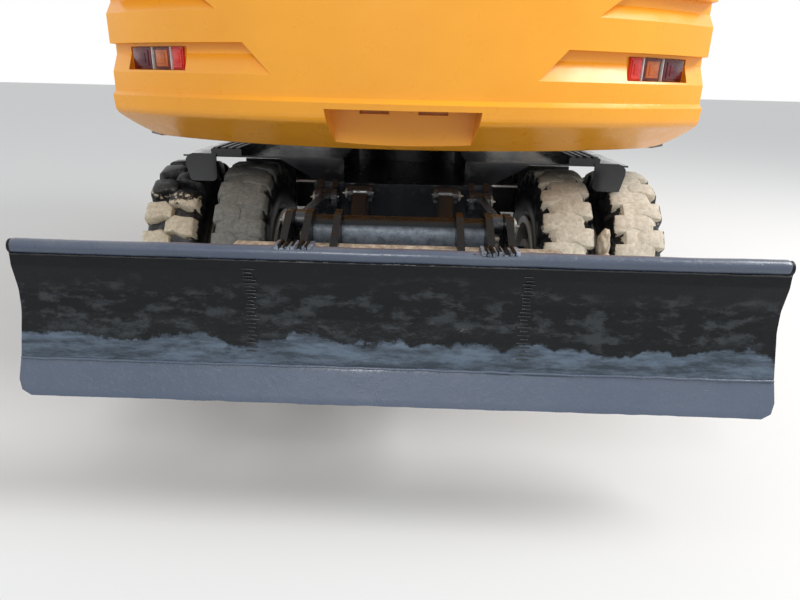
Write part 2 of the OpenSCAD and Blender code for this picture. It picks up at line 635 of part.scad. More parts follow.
// Upper frame
boom_foot = [foot_y, foot_z];
boom_eye = [1700, 400];
ram_base = [foot_y + 220, foot_z - 450];
foot_pin_r = 45;
bracket_t = 40;
bracket_x = boom_w / 2 + 6 + bracket_t / 2;
boom_pin_r = 40;
boom_eye_half = 42;
deck_corner_y = weight_front_y + 110;
girder_x = [upper_half - 345, upper_half - 285];
girder_front_y = 1150;
module upper_frame() {
    color(dark) {
        // Deck
        translate([0, 0, upper_z]) linear_extrude(deck_t) difference() {
            polygon([
                [-upper_half + 10, deck_corner_y], [-upper_half + 100, weight_front_y + seat_gap],
                [upper_half - 100, weight_front_y + seat_gap], [upper_half - 10, deck_corner_y],
                [upper_half - 10, 1180], [cab_in_x + 300, 1180], [cab_in_x + 120, 700],
                [-cab_in_x - 60, 700], [-cab_in_x - 10, 1300], [-upper_half + 10, 1300]
            ]);
            circle(r = 180);
        }
        translate([0, 0, upper_z - 8 + seat_gap]) cylinder(r = drum_r + 30, h = 20);
        // Boom foot brackets and centre girders
        for (s = [-1, 1])
            plate_at(s * bracket_x, bracket_t, rounded([
                [house_front_y - 60, deck_top - 2, 0], [house_front_y - 60, deck_top + 280, 0],
                [-350, deck_top + 330, 60], [foot_y - 150, foot_z + 60, 120],
                [foot_y + 60, foot_z + 130, 100], [foot_y + 190, foot_z - 60, 90],
                [ram_base.x + 110, ram_base.y + 60, 60], [ram_base.x + 110, ram_base.y - 90, 60],
                [700, deck_top - 2, 0]]));
        bar(boom_foot, foot_pin_r, -bracket_x - 40, bracket_x + 40);
        // Cylinder lugs in front
        for (s = [-1, 1])
            plate_at(s * (boom_cyl_x + boom_eye_half + side_gap + 10), 20, rounded([
                [ram_base.x - 200, deck_top - 2, 0], [ram_base.x - 75, ram_base.y + 20, 40],
                [ram_base.x + 10, ram_base.y + 75, 50], [ram_base.x + 80, ram_base.y - 10, 50],
                [ram_base.x + 120, deck_top - 2, 0]]));
        bar(ram_base, boom_pin_r, -boom_cyl_x - boom_eye_half - 40, boom_cyl_x + boom_eye_half + 40);
        // Side girders under the cab and the tank
        for (s = [0, 1]) mirror([s, 0, 0])
            block(girder_x[0], girder_x[1], weight_front_y + 10, girder_front_y, upper_z - 8, upper_z + 10);
        // Beams under the engine
        for (y = engine_beam_y)
            block(-620, 480, y - 30, y + 30, deck_top - 2, engine_z - seat_gap);
    }
}
// Counterweight. Rows are [distance from the slewing axis, height, fillet].
panel_r = tail_r - 22;
weight_rows = [
    [900, upper_z, 0], [tail_r - 240, upper_z, 40], [tail_r - 6, 1318, 40], [tail_r, 1384, 0],
    [panel_r, 1401, 0], [panel_r, weight_top_z - 60, 60], [tail_r - 90, weight_top_z, 0],
    [900, weight_top_z, 0]
];
module counterweight() {
    color(paint) difference() {
        intersection() {
            rotate_extrude($fn = 160) polygon(rounded(weight_rows, 4));
            weight_plan();
            wall(-tail_r - 10, 0, rounded([
                [-upper_half, upper_z, 125], [upper_half, upper_z, 125],
                [upper_half, weight_top_z + 10, 0], [-upper_half, weight_top_z + 10, 0]], 6));
        }
        lamp_recesses();
        rear_notch();
        // Lifting eye threads in the top
        for (s = [-1, 1]) translate([s * 700, -1620, weight_top_z - 80]) cylinder(r = lift_r, h = 100);
    }
}
lift_r = 18;
module weight_plan() {
    translate([0, 0, upper_z - 10]) linear_extrude(weight_top_z - upper_z + 20)
        polygon([[-upper_half, weight_front_y], [upper_half, weight_front_y],
            [upper_half, -tail_r - 10], [-upper_half, -tail_r - 10]]);
}
// Wedge-shaped pockets with a sloping floor.
// Rows are [inner x at the foot, inner x at the top, foot z, top z, rise of the floor].
pocket_rows = [[490, 600, 1475, 1585, 72], [700, 830, 1698, 1792, 50]];
pocket_r = panel_r - 42;
// A box for the tail lamps goes deeper into the lower pocket.
lamp_box_x = [856, 1150];
lamp_box_z = [1484, 1574];
lamp_back_r = pocket_r - 8;
module round_band(r0, r1, z0, z1) {
    rotate_extrude($fn = 160) polygon([[r0, z0], [r1, z0], [r1, z1], [r0, z1]]);
}
module lamp_recesses() {
    for (s = [0, 1]) mirror([s, 0, 0]) {
        for (p = pocket_rows) intersection() {
            rotate_extrude($fn = 160) polygon([
                [pocket_r, p[3]], [tail_r + 20, p[3]], [tail_r + 20, p[2]], [panel_r, p[2]],
                [pocket_r, p[2] + p[4]]]);
            wall(-tail_r - 50, 0, [[p[0], p[2] - 1], [upper_half + 20, p[2] - 1],
                [upper_half + 20, p[3] + 1], [p[1], p[3] + 1]]);
        }
        intersection() {
            round_band(lamp_back_r, tail_r + 20, lamp_box_z[0], lamp_box_z[1]);
            block(lamp_box_x[0], lamp_box_x[1], -tail_r - 50, 0, lamp_box_z[0] - 1, lamp_box_z[1] + 1);
        }
    }
}
notch_half = 290;
module rear_notch() {
    wall(-tail_r - 20, -1900, [
        [-notch_half + 26, upper_z - 10], [notch_half - 26, upper_z - 10],
        [notch_half, 1362], [-notch_half, 1362]]);
    for (s = [-1, 1]) block(s * 116 - 58, s * 116 + 58, -1901, -1860, 1340, 1361);
}
// Tail lamps. Cells are [inner x, outer x] from the machine's middle outwards.
lamp_cells = [[866, 922], [928, 1017], [1023, 1140]];
lamp_t = 20;
module lamp_cell(c) {
    for (s = [0, 1]) mirror([s, 0, 0]) intersection() {
        round_band(lamp_back_r + seat_gap, lamp_back_r + lamp_t, lamp_box_z[0] + 2, lamp_box_z[1] - 2);
        block(c[0], c[1], -tail_r - 50, 0, lamp_box_z[0], lamp_box_z[1]);
    }
}
module tail_lamps_red() { color("red") { lamp_cell(lamp_cells[0]); lamp_cell(lamp_cells[2]); } }
module tail_lamps_amber() { color("orange") lamp_cell(lamp_cells[1]); }

// Engine house
house_half = upper_half - 25;
engine_z = deck_top + 60;
engine_beam_y = [-1220, -910];
module engine_block() {
    color("gray") block(-560, 420, weight_front_y + 150, -800, engine_z, 1900);
}
post = 50;
module house_frame() {
    color(paint) {
        // Front wall behind the boom foot
        difference() {
            block(-house_half, house_half, house_front_y - 30, house_front_y, deck_top, house_top_z);
            block(-bracket_x - 30, bracket_x + 30, house_front_y - 40, house_front_y + 10, deck_top - 1, deck_top + 340);
        }
        // Corner posts and top rails
        for (s = [-1, 1]) {
            block(min(s * house_half, s * (house_half - post)), max(s * house_half, s * (house_half - post)),
                weight_front_y + 40, weight_front_y + 40 + post, deck_top, house_top_z - 60);
            block(min(s * house_half, s * 700), max(s * house_half, s * 700),
                weight_front_y + 40, house_front_y, house_top_z - 60, house_top_z);
        }
        block(-700, 700, weight_front_y + 40, weight_front_y + 80, weight_top_z + 10, house_top_z - 60);
        // Hinge pins of the side doors
        for (s = [0, 1], z = door_hinge_z) mirror([s, 0, 0]) {
            translate([door_hinge.x, door_hinge.y, z - 5]) cylinder(r = hinge_r, h = hinge_h + 25);
            block(house_half - 30, house_half, door_hinge.y - 9, weight_front_y + 45, z - 12, z);
            block(house_half - 1, door_hinge.x + 10, door_hinge.y - 9, door_hinge.y + 9, z - 12, z);
        }
    }
}
door_hinge = [house_half + 14, weight_front_y + 27];
door_hinge_z = [1420, 2050];
hood_half = 690;
module engine_hood() {
    color(paint) difference() {
        block(-hood_half, hood_half, weight_front_y + 30, house_front_y - 30 - seat_gap, house_top_z - 50, house_top_z + 40);
        block(-hood_half + panel_t, hood_half - panel_t, weight_front_y + 30 + panel_t, house_front_y - 30 - seat_gap - panel_t,
            house_top_z - 60, house_top_z + 40 - panel_t);
        for (i = [0:5]) block(-400, 400, weight_front_y + 160 + i * 60, weight_front_y + 190 + i * 60,
            house_top_z, house_top_z + 60);
    }
}
door_low = deck_top + 12;
door_high = house_top_z - 66;
module side_door(s) {
    x0 = min(s * house_half + s * 1, s * (house_half + panel_t - 6));
    x1 = max(s * house_half + s * 1, s * (house_half + panel_t - 6));
    color(paint) difference() {
        block(x0, x1, weight_front_y + 46, house_front_y - 4, door_low, door_high);
        for (i = [0:8])
            block(x0 - 1, x1 + 1, weight_front_y + 160, weight_front_y + 560, door_low + 350 + i * 50, door_low + 372 + i * 50);
    }
    color(paint) for (z = door_hinge_z) mirror([s < 0 ? 1 : 0, 0, 0]) difference() {
        union() {
            translate([door_hinge.x, door_hinge.y, z + seat_gap]) cylinder(r = 12, h = hinge_h);
            block(house_half + 3, door_hinge.x + 9, door_hinge.y, weight_front_y + 60, z + seat_gap, z + hinge_h);
        }
        translate([door_hinge.x, door_hinge.y, z - 20]) cylinder(r = hinge_r + fit, h = 2 * hinge_h);
    }
}
module side_door_left() { side_door(-1); }
module side_door_right() { side_door(1); }

// Tanks with steps, in front of the engine house on the right
tank_in_x = 350;
module tank_housing() {
    color(paint) difference() {
        union() {
            slab(tank_in_x, upper_half - 10, rounded([
                [house_front_y + 4, deck_top, 0], [house_front_y + 4, 2150, 30],
                [560, 2150, 60], [620, 1900, 60], [620, deck_top, 0]]));
            slab(tank_in_x + 60, upper_half - 10, rounded([
                [610, deck_top, 0], [610, 1750, 0], [900, 1750, 40], [900, 1500, 40], [1150, 1500, 40], [1150, deck_top, 0]]));
        }
        block(tank_in_x + 120, upper_half, 700, 890, 1300, 1450);
    }
}

// Cab
cab_out_x = upper_half - 5;
cab_front_y = cab_rear_y + cab_len;
cab_z = deck_top + seat_gap;
cab_rows = [
    [cab_rear_y, cab_z, 30], [cab_rear_y, cab_top_z - 110, 120], [cab_rear_y + 90, cab_top_z, 120],
    [cab_front_y - 190, cab_top_z, 140], [cab_front_y - 60, cab_top_z - 160, 160],
    [cab_front_y, 2000, 200], [cab_front_y - 30, 1500, 100], [cab_front_y - 110, cab_z, 60]
];
function pulled_in(rows, d) = let (
    mid = [(cab_rear_y + cab_front_y) / 2, (cab_z + cab_top_z) / 2],
    half = [cab_len / 2, (cab_top_z - cab_z) / 2]
) [for (r = rows) [mid.x + (r.x - mid.x) * (1 - d / half.x), mid.y + (r.y - mid.y) * (1 - d / half.y), r[2]]];
door_y = [120, cab_front_y - 130];
door_z = [cab_z + 90, cab_top_z - 150];
function door_rows(g) = [
    [door_y[0] + g, door_z[0] + g, 40], [door_y[0] + g, door_z[1] - g, 60],
    [door_y[1] - 60 - g, door_z[1] - g, 60], [door_y[1] - g, 2000, 100], [door_y[1] - 40 - g, door_z[0] + g, 60]
];
// Side windows are [rear y, front y, low z, high z] on the door and behind it
door_window = [door_y[0] + 70, door_y[1] - 110, 1820, door_z[1] - 60];
quarter_window = [cab_rear_y + 90, door_y[0] - 60, 1900, door_z[1]];
right_window = [cab_rear_y + 90, cab_front_y - 110, 1900, door_z[1]];
module pane_hole(w, x0, x1, g) {
    slab(x0, x1, rounded([[w[0] + g, w[2] + g, 50], [w[0] + g, w[3] - g, 50],
        [w[1] - g, w[3] - g, 50], [w[1] - g, w[2] + g, 50]], 3));
}
front_low = 1560;
module front_opening(y0, y1, g) {
    wall(y0, y1, rounded([[-cab_out_x + 70 + g, front_low + g, 50], [-cab_in_x - 70 - g, front_low + g, 50],
        [-cab_in_x - 70 - g, cab_top_z - 170 - g, 50], [-cab_out_x + 70 + g, cab_top_z - 170 - g, 50]], 3));
}
module rear_opening(y0, y1, g) {
    wall(y0, y1, rounded([[-cab_out_x + 110 + g, 2350 + g, 50], [-cab_in_x - 110 - g, 2350 + g, 50],
        [-cab_in_x - 110 - g, cab_top_z - 200 - g, 50], [-cab_out_x + 110 + g, cab_top_z - 200 - g, 50]], 3));
}
module cab_inside() {
    slab(-cab_out_x + cab_t, -cab_in_x - cab_t, rounded(pulled_in(cab_rows, cab_t), 4));
}
module cab_shell() {
    color(paint) difference() {
        slab(-cab_out_x, -cab_in_x, rounded(cab_rows));
        cab_inside();
        slab(-cab_out_x - 1, -cab_out_x + cab_t + 1, rounded(door_rows(0)));
        pane_hole(quarter_window, -cab_out_x - 1, -cab_out_x + cab_t + 1, 0);
        pane_hole(right_window, -cab_in_x - cab_t - 1, -cab_in_x + 1, 0);
        front_opening(cab_front_y - 260, cab_front_y + 10, 0);
        rear_opening(cab_rear_y - 1, cab_rear_y + cab_t + 20, 0);
    }
    color(paint) hinge_posts();
}
// Hinges of the cab door: the pin stands outside the rear edge of the opening
hinge_at = [-cab_out_x - 20, door_y[0] - 8];
hinge_z = [door_z[0] + 150, door_z[1] - 260];
hinge_h = 70;
hinge_r = 9;
module hinge_posts() {
    for (z = hinge_z) {
        translate([hinge_at.x, hinge_at.y, z - hinge_h / 2]) cylinder(r = hinge_r, h = 1.5 * hinge_h);
        block(hinge_at.x - 14, -cab_out_x + 2, hinge_at.y - 50, hinge_at.y + 14, z - hinge_h / 2 - 12, z - hinge_h / 2);
        block(hinge_at.x - 14, -cab_out_x + 2, hinge_at.y - 50, hinge_at.y - 34, z - hinge_h / 2, z + hinge_h / 2);
    }
}
module cab_door() {
    color(paint) {
        difference() {
            slab(-cab_out_x - 2, -cab_out_x + cab_t - 2, rounded(door_rows(door_gap)));
            pane_hole(door_window, -cab_out_x - 5, -cab_out_x + cab_t + 1, 0);
        }
        for (z = hinge_z) difference() {
            union() {
                translate([hinge_at.x, hinge_at.y, z - hinge_h / 2 + seat_gap]) cylinder(r = 16, h = hinge_h);
                block(hinge_at.x - 16, -cab_out_x, hinge_at.y + 14, hinge_at.y + 70, z - hinge_h / 2 + seat_gap, z + hinge_h / 2);
            }
            translate([hinge_at.x, hinge_at.y, z - hinge_h]) cylinder(r = hinge_r + fit, h = 3 * hinge_h);
        }
    }
}
glass_t = 6;
module cab_door_glass() {
    color([0.2, 0.25, 0.28, 0.5]) pane_hole(door_window, -cab_out_x + 14, -cab_out_x + 14 + glass_t, seat_gap);
}
module cab_glass() {
    color([0.2, 0.25, 0.28, 0.5]) {
        pane_hole(quarter_window, -cab_out_x + 14, -cab_out_x + 14 + glass_t, seat_gap);
        pane_hole(right_window, -cab_in_x - 20, -cab_in_x - 20 + glass_t, seat_gap);
        rear_opening(cab_rear_y + 14, cab_rear_y + 14 + glass_t, seat_gap);
        intersection() {
            front_opening(cab_front_y - 260, cab_front_y + 10, seat_gap);
            difference() {
                slab(-cab_out_x, -cab_in_x, rounded(pulled_in(cab_rows, 12)));
                slab(-cab_out_x - 1, -cab_in_x + 1, rounded(pulled_in(cab_rows, 12 + glass_t)));
            }
        }
    }
}
seat_x = -(cab_out_x + cab_in_x) / 2;
console_half = 65;
console_x = (cab_out_x - cab_in_x) / 2 - cab_t - 10 - console_half;
seat_half = console_x - console_half - 15;
floor_z = cab_z + cab_t;
module cab_seat() {
    color(dark) {
        block(seat_x - seat_half + 50, seat_x + seat_half - 50, -60, 300, floor_z, floor_z + 260);
        block(seat_x - seat_half, seat_x + seat_half, -90, 410, floor_z + 260, floor_z + 400);
        slab(seat_x - seat_half + 20, seat_x + seat_half - 20, rounded([
            [-60, floor_z + 380, 30], [-200, floor_z + 1000, 50], [-90, floor_z + 1020, 50], [70, floor_z + 390, 30]]));
    }
}
module cab_controls() {
    color(dark) {
        for (s = [-1, 1]) {
            block(seat_x + s * console_x - console_half, seat_x + s * console_x + console_half,
                -150, 430, floor_z + seat_gap, floor_z + 560);
            rod([seat_x + s * console_x, 370, floor_z + 550], [seat_x + s * (console_x - 10), 390, floor_z + 740], 16);
        }
        block(seat_x - 60, seat_x + 60, 830, 960, floor_z + seat_gap, floor_z + 60);
        rod([seat_x, 880, floor_z + 50], [seat_x, 632, floor_z + 722], 35);
        translate([seat_x, 635, floor_z + 715]) rotate([20, 0, 0]) rotate_extrude() translate([170, 0]) circle(r = 15);
        translate([seat_x, 635, floor_z + 715]) rotate([20, 0, 0]) block(-160, 160, -18, 18, -12, 12);
        for (s = [-1, 1]) block(seat_x + s * 90 - 50, seat_x + s * 90 + 50, 860, 1020, floor_z + seat_gap, floor_z + 60);
        block(seat_x - 140, seat_x + 140, 850, 940, floor_z + seat_gap, floor_z + 20);
    }
}
module exhaust_pipe() {
    color("gray") difference() {
        translate([house_half - 290, -1100, house_top_z + seat_gap]) cylinder(r = 50, h = 300);
        translate([house_half - 290, -1100, house_top_z + 60]) cylinder(r = 42, h = 300);
    }
}
module handrails() {
    color(dark) {
        // Beside the steps on the tank
        for (x = [tank_in_x + 100, upper_half - 60]) {
            rod([x, 640, 1500 + 250], [x, 640, 2500], 16);
            rod([x, 640, 2484], [x, 0, 2484], 16);
            rod([x, 0, 2150], [x, 0, 2500], 16);
        }
        // Grab rail beside the cab door
        rod([-cab_out_x - 45, cab_front_y - 90, 1500], [-cab_out_x - 45, cab_front_y - 90, 2100], 14);
        for (z = [1512, 2088])
            rod([-cab_out_x - 45, cab_front_y - 90, z], [-cab_out_x - seat_gap, cab_front_y - 90, z], 14);
    }
}
module mirror_head(x, y, z) {
    block(x - 90, x + 90, y, y + 34, z - 150, z + 150);
}
module mirrors() {
    color(dark) {
        // On the cab's front post
        block(-cab_out_x - 24, -cab_out_x - seat_gap, cab_front_y - 110, cab_front_y - 60, 2340, 2420);
        rod([-cab_out_x - 14, cab_front_y - 80, 2380], [-cab_out_x - 14, cab_front_y + 170, 2400], 11);
        mirror_head(-cab_out_x + 40, cab_front_y + 165, 2400);
        // On the rail beside the tank steps
        rod([upper_half - 60, 658 + seat_gap, 2440], [upper_half - 60, 900, 2470], 11);
        mirror_head(upper_half - 60, 895, 2470);
    }
}
module work_lamps() {
    color("white") {
        for (x = [-cab_out_x + 120, -cab_in_x - 120])
            block(x - 55, x + 55, cab_front_y - 270, cab_front_y - 190, cab_top_z + seat_gap, cab_top_z + 100);
        block(upper_half - 200, upper_half - 80, 1150 + seat_gap, 1200, 1290, 1400);
    }
}

// Boom, in its own frame: Y runs from pin to pin and Z stands square to it
boom_half = boom_w / 2;
fork_t = 40;
fork_in = arm_w / 2 + 4;
boom_rows = [
    [-60, 120, 90], [1380, 760, 500], [2150, 790, 500], [boom_len - 420, 190, 40],
    [boom_len - 460, 40, 40], [boom_len - 720, -60, 200], [1950, 330, 600], [1500, 310, 500], [140, -130, 60], [-130, -110, 110]
];
arm_base = [2250, 900];
boom_tip = boom_foot + turned([boom_len, 0], boom_slope);
arm_pin_r = 40;
module boom() {
    color(paint) along(boom_foot, boom_slope) difference() {
        union() {
            slab(-boom_half, boom_half, rounded(boom_rows));
            bar([0, 0], 125, -boom_half, boom_half);
            // Fork that holds the arm
            for (s = [-1, 1]) plate_at(s * (fork_in + fork_t / 2), fork_t, rounded([
                [boom_len - 620, 220, 60], [boom_len - 100, 145, 120], [boom_len + 130, 90, 110],
                [boom_len + 130, -90, 110], [boom_len - 100, -140, 120], [boom_len - 620, -130, 60]]));
            bar([boom_len, 0], arm_pin_r, -boom_half - 40, boom_half + 40);
            // Bosses for the boom cylinders' eyes
            bar(boom_eye, 75, -boom_half - 60, boom_half + 60);
            // Bracket of the arm cylinder
            for (s = [-1, 1]) plate_at(s * (55 + side_gap + 12), 24, rounded([
                [arm_base.x - 260, 640, 0], [arm_base.x - 70, arm_base.y + 40, 50],
                [arm_base.x + 60, arm_base.y + 60, 50], [arm_base.x + 75, 640, 0]]));
            bar(arm_base, 36, -100, 100);
        }
        bar([0, 0], foot_pin_r + fit, -boom_half - 1, boom_half + 1);
    }
}
boom_eye_at = boom_foot + turned(boom_eye, boom_slope);
boom_cyl_len = norm(boom_eye_at - ram_base);
boom_cyl_slope = angle_of(boom_eye_at - ram_base);
boom_barrel_len = 1180;
boom_rod_from = 610;    // where the rod starts inside the barrel
module boom_cylinder_barrels() {
    color(paint) along(ram_base, boom_cyl_slope) for (s = [-1, 1])
        barrel(s * boom_cyl_x, 68, boom_barrel_len, 68, boom_eye_half, boom_pin_r);
}
module boom_cylinder_rods() {
    color("silver") along(ram_base, boom_cyl_slope) for (s = [-1, 1])
        ram(s * boom_cyl_x, 68, boom_cyl_len, boom_rod_from, 66, boom_eye_half, 40, boom_eye_half + 12);
}

// Arm, in its own frame: Y runs from the boom's tip to the bucket pin
arm_half = arm_w / 2;
bucket_pin_r = 36;
arm_eye = [-600, 100];
bucket_base = [420, 330];
rocker_at = [arm_len - 420, 20];
arm_rows = [
    [-640, 30, 60], [-640, 175, 60], [-200, 230, 200], [350, 190, 200], [arm_len - 420, 95, 60],
    [arm_len + 40, 60, 60], [arm_len + 60, -70, 60], [arm_len - 450, -110, 100], [350, -190, 300], [-150, -150, 200]
];
module arm() {
    color(paint) along(boom_tip, arm_slope) difference() {
        union() {
            slab(-arm_half + 40, arm_half - 40, rounded(arm_rows));
            bar([0, 0], 135, -fork_in + side_gap, fork_in - side_gap);
            slab(-arm_half, arm_half, rounded([
                [-300, 205, 60], [350, 188, 200], [arm_len - 620, 100, 60], [arm_len - 620, -95, 60],
                [350, -188, 300], [-60, -150, 60]]));
            // Lever plates of the arm cylinder
            bar([arm_len, 0], 78, -arm_half, arm_half);
            for (s = [-1, 1]) plate_at(s * (50 + side_gap + 12), 24, rounded([
                [arm_eye.x - 70, arm_eye.y - 60, 60], [arm_eye.x - 70, arm_eye.y + 130, 60],
                [arm_eye.x + 70, arm_eye.y + 150, 60], [arm_eye.x + 200, arm_eye.y, 0]]));
            // Bracket of the bucket cylinder
            for (s = [-1, 1]) plate_at(s * (45 + side_gap + 10), 20, rounded([
                [bucket_base.x - 200, 180, 0], [bucket_base.x - 60, bucket_base.y + 40, 40],
                [bucket_base.x + 50, bucket_base.y + 50, 40], [bucket_base.x + 60, 150, 0]]));
            bar(bucket_base, 30, -90, 90);
            bar(rocker_at, 34, -arm_half - 45, arm_half + 45);
        }
        bar([0, 0], arm_pin_r + fit, -arm_half - 50, arm_half + 50);
        bar([arm_len, 0], bucket_pin_r + fit, -arm_half - 50, arm_half + 50);
        // Space for the rod eye between the lever plates
        block(-52 - side_gap, 52 + side_gap, arm_eye.x - 200, -350, -300, 400);
    }
}
arm_eye_at = boom_tip + turned(arm_eye, arm_slope);
arm_base_at = boom_foot + turned(arm_base, boom_slope);
arm_cyl_len = norm(arm_eye_at - arm_base_at);
arm_cyl_slope = angle_of(arm_eye_at - arm_base_at);
arm_barrel_len = 1500;
arm_rod_from = 900;
module arm_cylinder_barrel() {
    color(paint) along(arm_base_at, arm_cyl_slope) barrel(0, 66, arm_barrel_len, 66, 55, 36);
}
module arm_cylinder_rod() {
    color("silver") along(arm_base_at, arm_cyl_slope) ram(0, 66, arm_cyl_len, arm_rod_from, 62, 50, 36, 50);
}

// Bucket linkage
bucket_at = boom_tip + turned([arm_len, 0], arm_slope);
link_pin = polar(370, 87);
link_pin_at = bucket_at + turned(link_pin, bucket_slope);
rocker_pin_at = boom_tip + turned(rocker_at, arm_slope);
rocker_len = 470;
link_len = 470;
// The free pin of the linkage, on the outer side of the arm
link_span = norm(link_pin_at - rocker_pin_at);
knee_at = rocker_pin_at + (link_pin_at - rocker_pin_at) / 2
    + turned([0, sqrt(rocker_len * rocker_len - link_span * link_span / 4)], angle_of(link_pin_at - rocker_pin_at));
rocker_slope = angle_of(knee_at - rocker_pin_at);
link_slope = angle_of(knee_at - link_pin_at);
bucket_base_at = boom_tip + turned(bucket_base, arm_slope);
bucket_cyl_len = norm(knee_at - bucket_base_at);
bucket_cyl_slope = angle_of(knee_at - bucket_base_at);
bucket_barrel_len = 1120;
bucket_rod_from = 600;
module bucket_cylinder_barrel() {
    color(paint) along(bucket_base_at, bucket_cyl_slope) barrel(0, 55, bucket_barrel_len, 56, 45, 30);
}
module bucket_cylinder_rod() {
    color("silver") along(bucket_base_at, bucket_cyl_slope) ram(0, 55, bucket_cyl_len, bucket_rod_from, 54, 42, 30, 58);
}
rocker_x = arm_half + 8 + 14;
module bucket_rocker() {
    color(paint) along(rocker_pin_at, rocker_slope) for (s = [-1, 1]) difference() {
        plate_at(s * rocker_x, 28, rounded([
            [-55, -50, 48], [-55, 50, 48], [rocker_len + 48, 44, 44], [rocker_len + 48, -44, 44]]));
        bar([0, 0], 34 + fit, s * rocker_x - 30, s * rocker_x + 30);
    }
    color(paint) along(rocker_pin_at, rocker_slope) for (s = [-1, 1])
        bar([rocker_len, 0], 34, min(s * (link_half_w + 4), s * (rocker_x + 30)), max(s * (link_half_w + 4), s * (rocker_x + 30)));
}
link_half_w = 90;
module bucket_link() {
    color(paint) along(link_pin_at, link_slope) {
        for (s = [-1, 1]) difference() {
            union() {
                plate_at(s * (link_half_w - 15), 30, rounded([
                    [-58, -50, 48], [-58, 50, 48], [link_len + 50, 46, 44], [link_len + 50, -46, 44]]));
                bar([0, 0], 58, s * (link_half_w - 15) - 15, s * (link_half_w - 15) + 15);
            }
            bar([0, 0], 32 + fit, s * (link_half_w - 15) - 20, s * (link_half_w - 15) + 20);
        }
        block(-link_half_w + 25, link_half_w - 25, 110, 330, -24, 24);
    }
}

// Bucket, in its own frame: Y runs from the bucket pin to the tooth tips
shell_t = 22;
bowl = [560, 420];
bowl_r = 360;
bowl_points = concat(
    [[200, 90]], [for (a = [180:-15:30]) bowl + polar(bowl_r, a)], [[bucket_r - 120, 50]]);
bowl_inner = concat(
    [[200 + shell_t, 60]], [for (a = [180:-15:30]) bowl + polar(bowl_r - shell_t, a)],
    [[bucket_r - 120 - shell_t, 20]]);
ear_t = 35;
ear_x = arm_half + 5 + ear_t / 2;
module bucket() {
    bh = bucket_w / 2;
    color(dark) along(bucket_at, bucket_slope) {
        difference() {
            slab(-bh, bh, bowl_points);
            slab(-bh + shell_t, bh - shell_t, bowl_inner);
        }
        // Ears of the two pins
        for (s = [-1, 1]) plate_at(s * ear_x, ear_t, rounded([
            [-70, -60, 55], [205, -60, 0], [205, 560, 0], [120, 520, 60], [-50, 450, 80]]));
        bar([0, 0], bucket_pin_r, -ear_x - 40, ear_x + 40);
        bar(link_pin, 32, -ear_x - 40, ear_x + 40);
        // Lip and teeth
        slab(-bh - 4, bh + 4, [[bucket_r - 190, 100], [bucket_r - 220, 60], [bucket_r - 95, 8], [bucket_r - 90, 30]]);
        for (i = [0:4])
            translate([-bh + 60 + i * (bucket_w - 120) / 4, 0, 0])
                plate_at(0, 70, [[bucket_r - 200, 100], [bucket_r - 200, 30], [bucket_r, -4], [bucket_r, 4]]);
        lift_eye();
    }
}
// Lifting eye on the back of the bucket
lift_eye_r = 22;
lift_eye_at = [176, 606];
module lift_eye() {
    difference() {
        plate_at(0, 30, rounded([[222, 520, 0], [322, 680, 0], [130, 665, 40], [130, 550, 40]]));
        bar(lift_eye_at, lift_eye_r, -20, 20);
    }
}

chassis_frame();
slew_ring();
rear_axle();
front_axle();
drive_line();
side_steps();
mudguards();
steering_rod();
knuckle_left();
knuckle_right();
tyres_front_left();
tyres_front_right();
tyres_rear_left();
tyres_rear_right();
rims_front_left();
rims_front_right();
rims_rear_left();
rims_rear_right();
blade_lower_links();
blade_upper_links();
blade_mouldboard();
blade_edge();
blade_cylinder_barrels();
blade_cylinder_rods();
upper_frame();
counterweight();
tail_lamps_red();
tail_lamps_amber();
engine_block();
house_frame();
engine_hood();
side_door_left();
side_door_right();
tank_housing();
cab_shell();
cab_glass();
cab_door();
cab_door_glass();
cab_seat();
cab_controls();
exhaust_pipe();
handrails();
mirrors();
work_lamps();
boom();
boom_cylinder_barrels();
boom_cylinder_rods();
arm();
arm_cylinder_barrel();
arm_cylinder_rod();
bucket_cylinder_barrel();
bucket_cylinder_rod();
bucket_rocker();
bucket_link();
bucket();
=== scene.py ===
import json
import math
import random
import bmesh
import bpy
from mathutils import Matrix, Vector, noise


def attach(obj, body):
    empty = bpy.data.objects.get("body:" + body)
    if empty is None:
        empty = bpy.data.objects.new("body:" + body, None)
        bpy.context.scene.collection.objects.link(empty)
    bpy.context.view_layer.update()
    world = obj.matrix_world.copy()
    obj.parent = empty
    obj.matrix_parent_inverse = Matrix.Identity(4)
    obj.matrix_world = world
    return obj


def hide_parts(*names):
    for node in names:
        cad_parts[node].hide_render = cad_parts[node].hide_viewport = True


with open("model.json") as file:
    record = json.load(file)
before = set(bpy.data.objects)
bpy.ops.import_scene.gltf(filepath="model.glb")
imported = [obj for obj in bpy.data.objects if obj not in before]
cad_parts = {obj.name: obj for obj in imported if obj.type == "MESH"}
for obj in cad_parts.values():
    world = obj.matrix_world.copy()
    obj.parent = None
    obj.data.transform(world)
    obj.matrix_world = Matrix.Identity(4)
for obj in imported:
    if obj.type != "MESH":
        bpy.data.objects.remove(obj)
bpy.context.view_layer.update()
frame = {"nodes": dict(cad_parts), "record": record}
noise.seed_set(5)  # without it, the noise that moves corners differs from run to run
nodes = frame["nodes"]
print("frame loaded:", len(nodes), "nodes")


# Camera, fitted to the rear view
cameraSettings = {
    "place": (0.048, -4.376, 1.461),
    "yaw": -1.04,
    "pitch": 19.88,
    "roll": 1.4,
    "lens": 27.13,
    "sensor": 36.0,
}


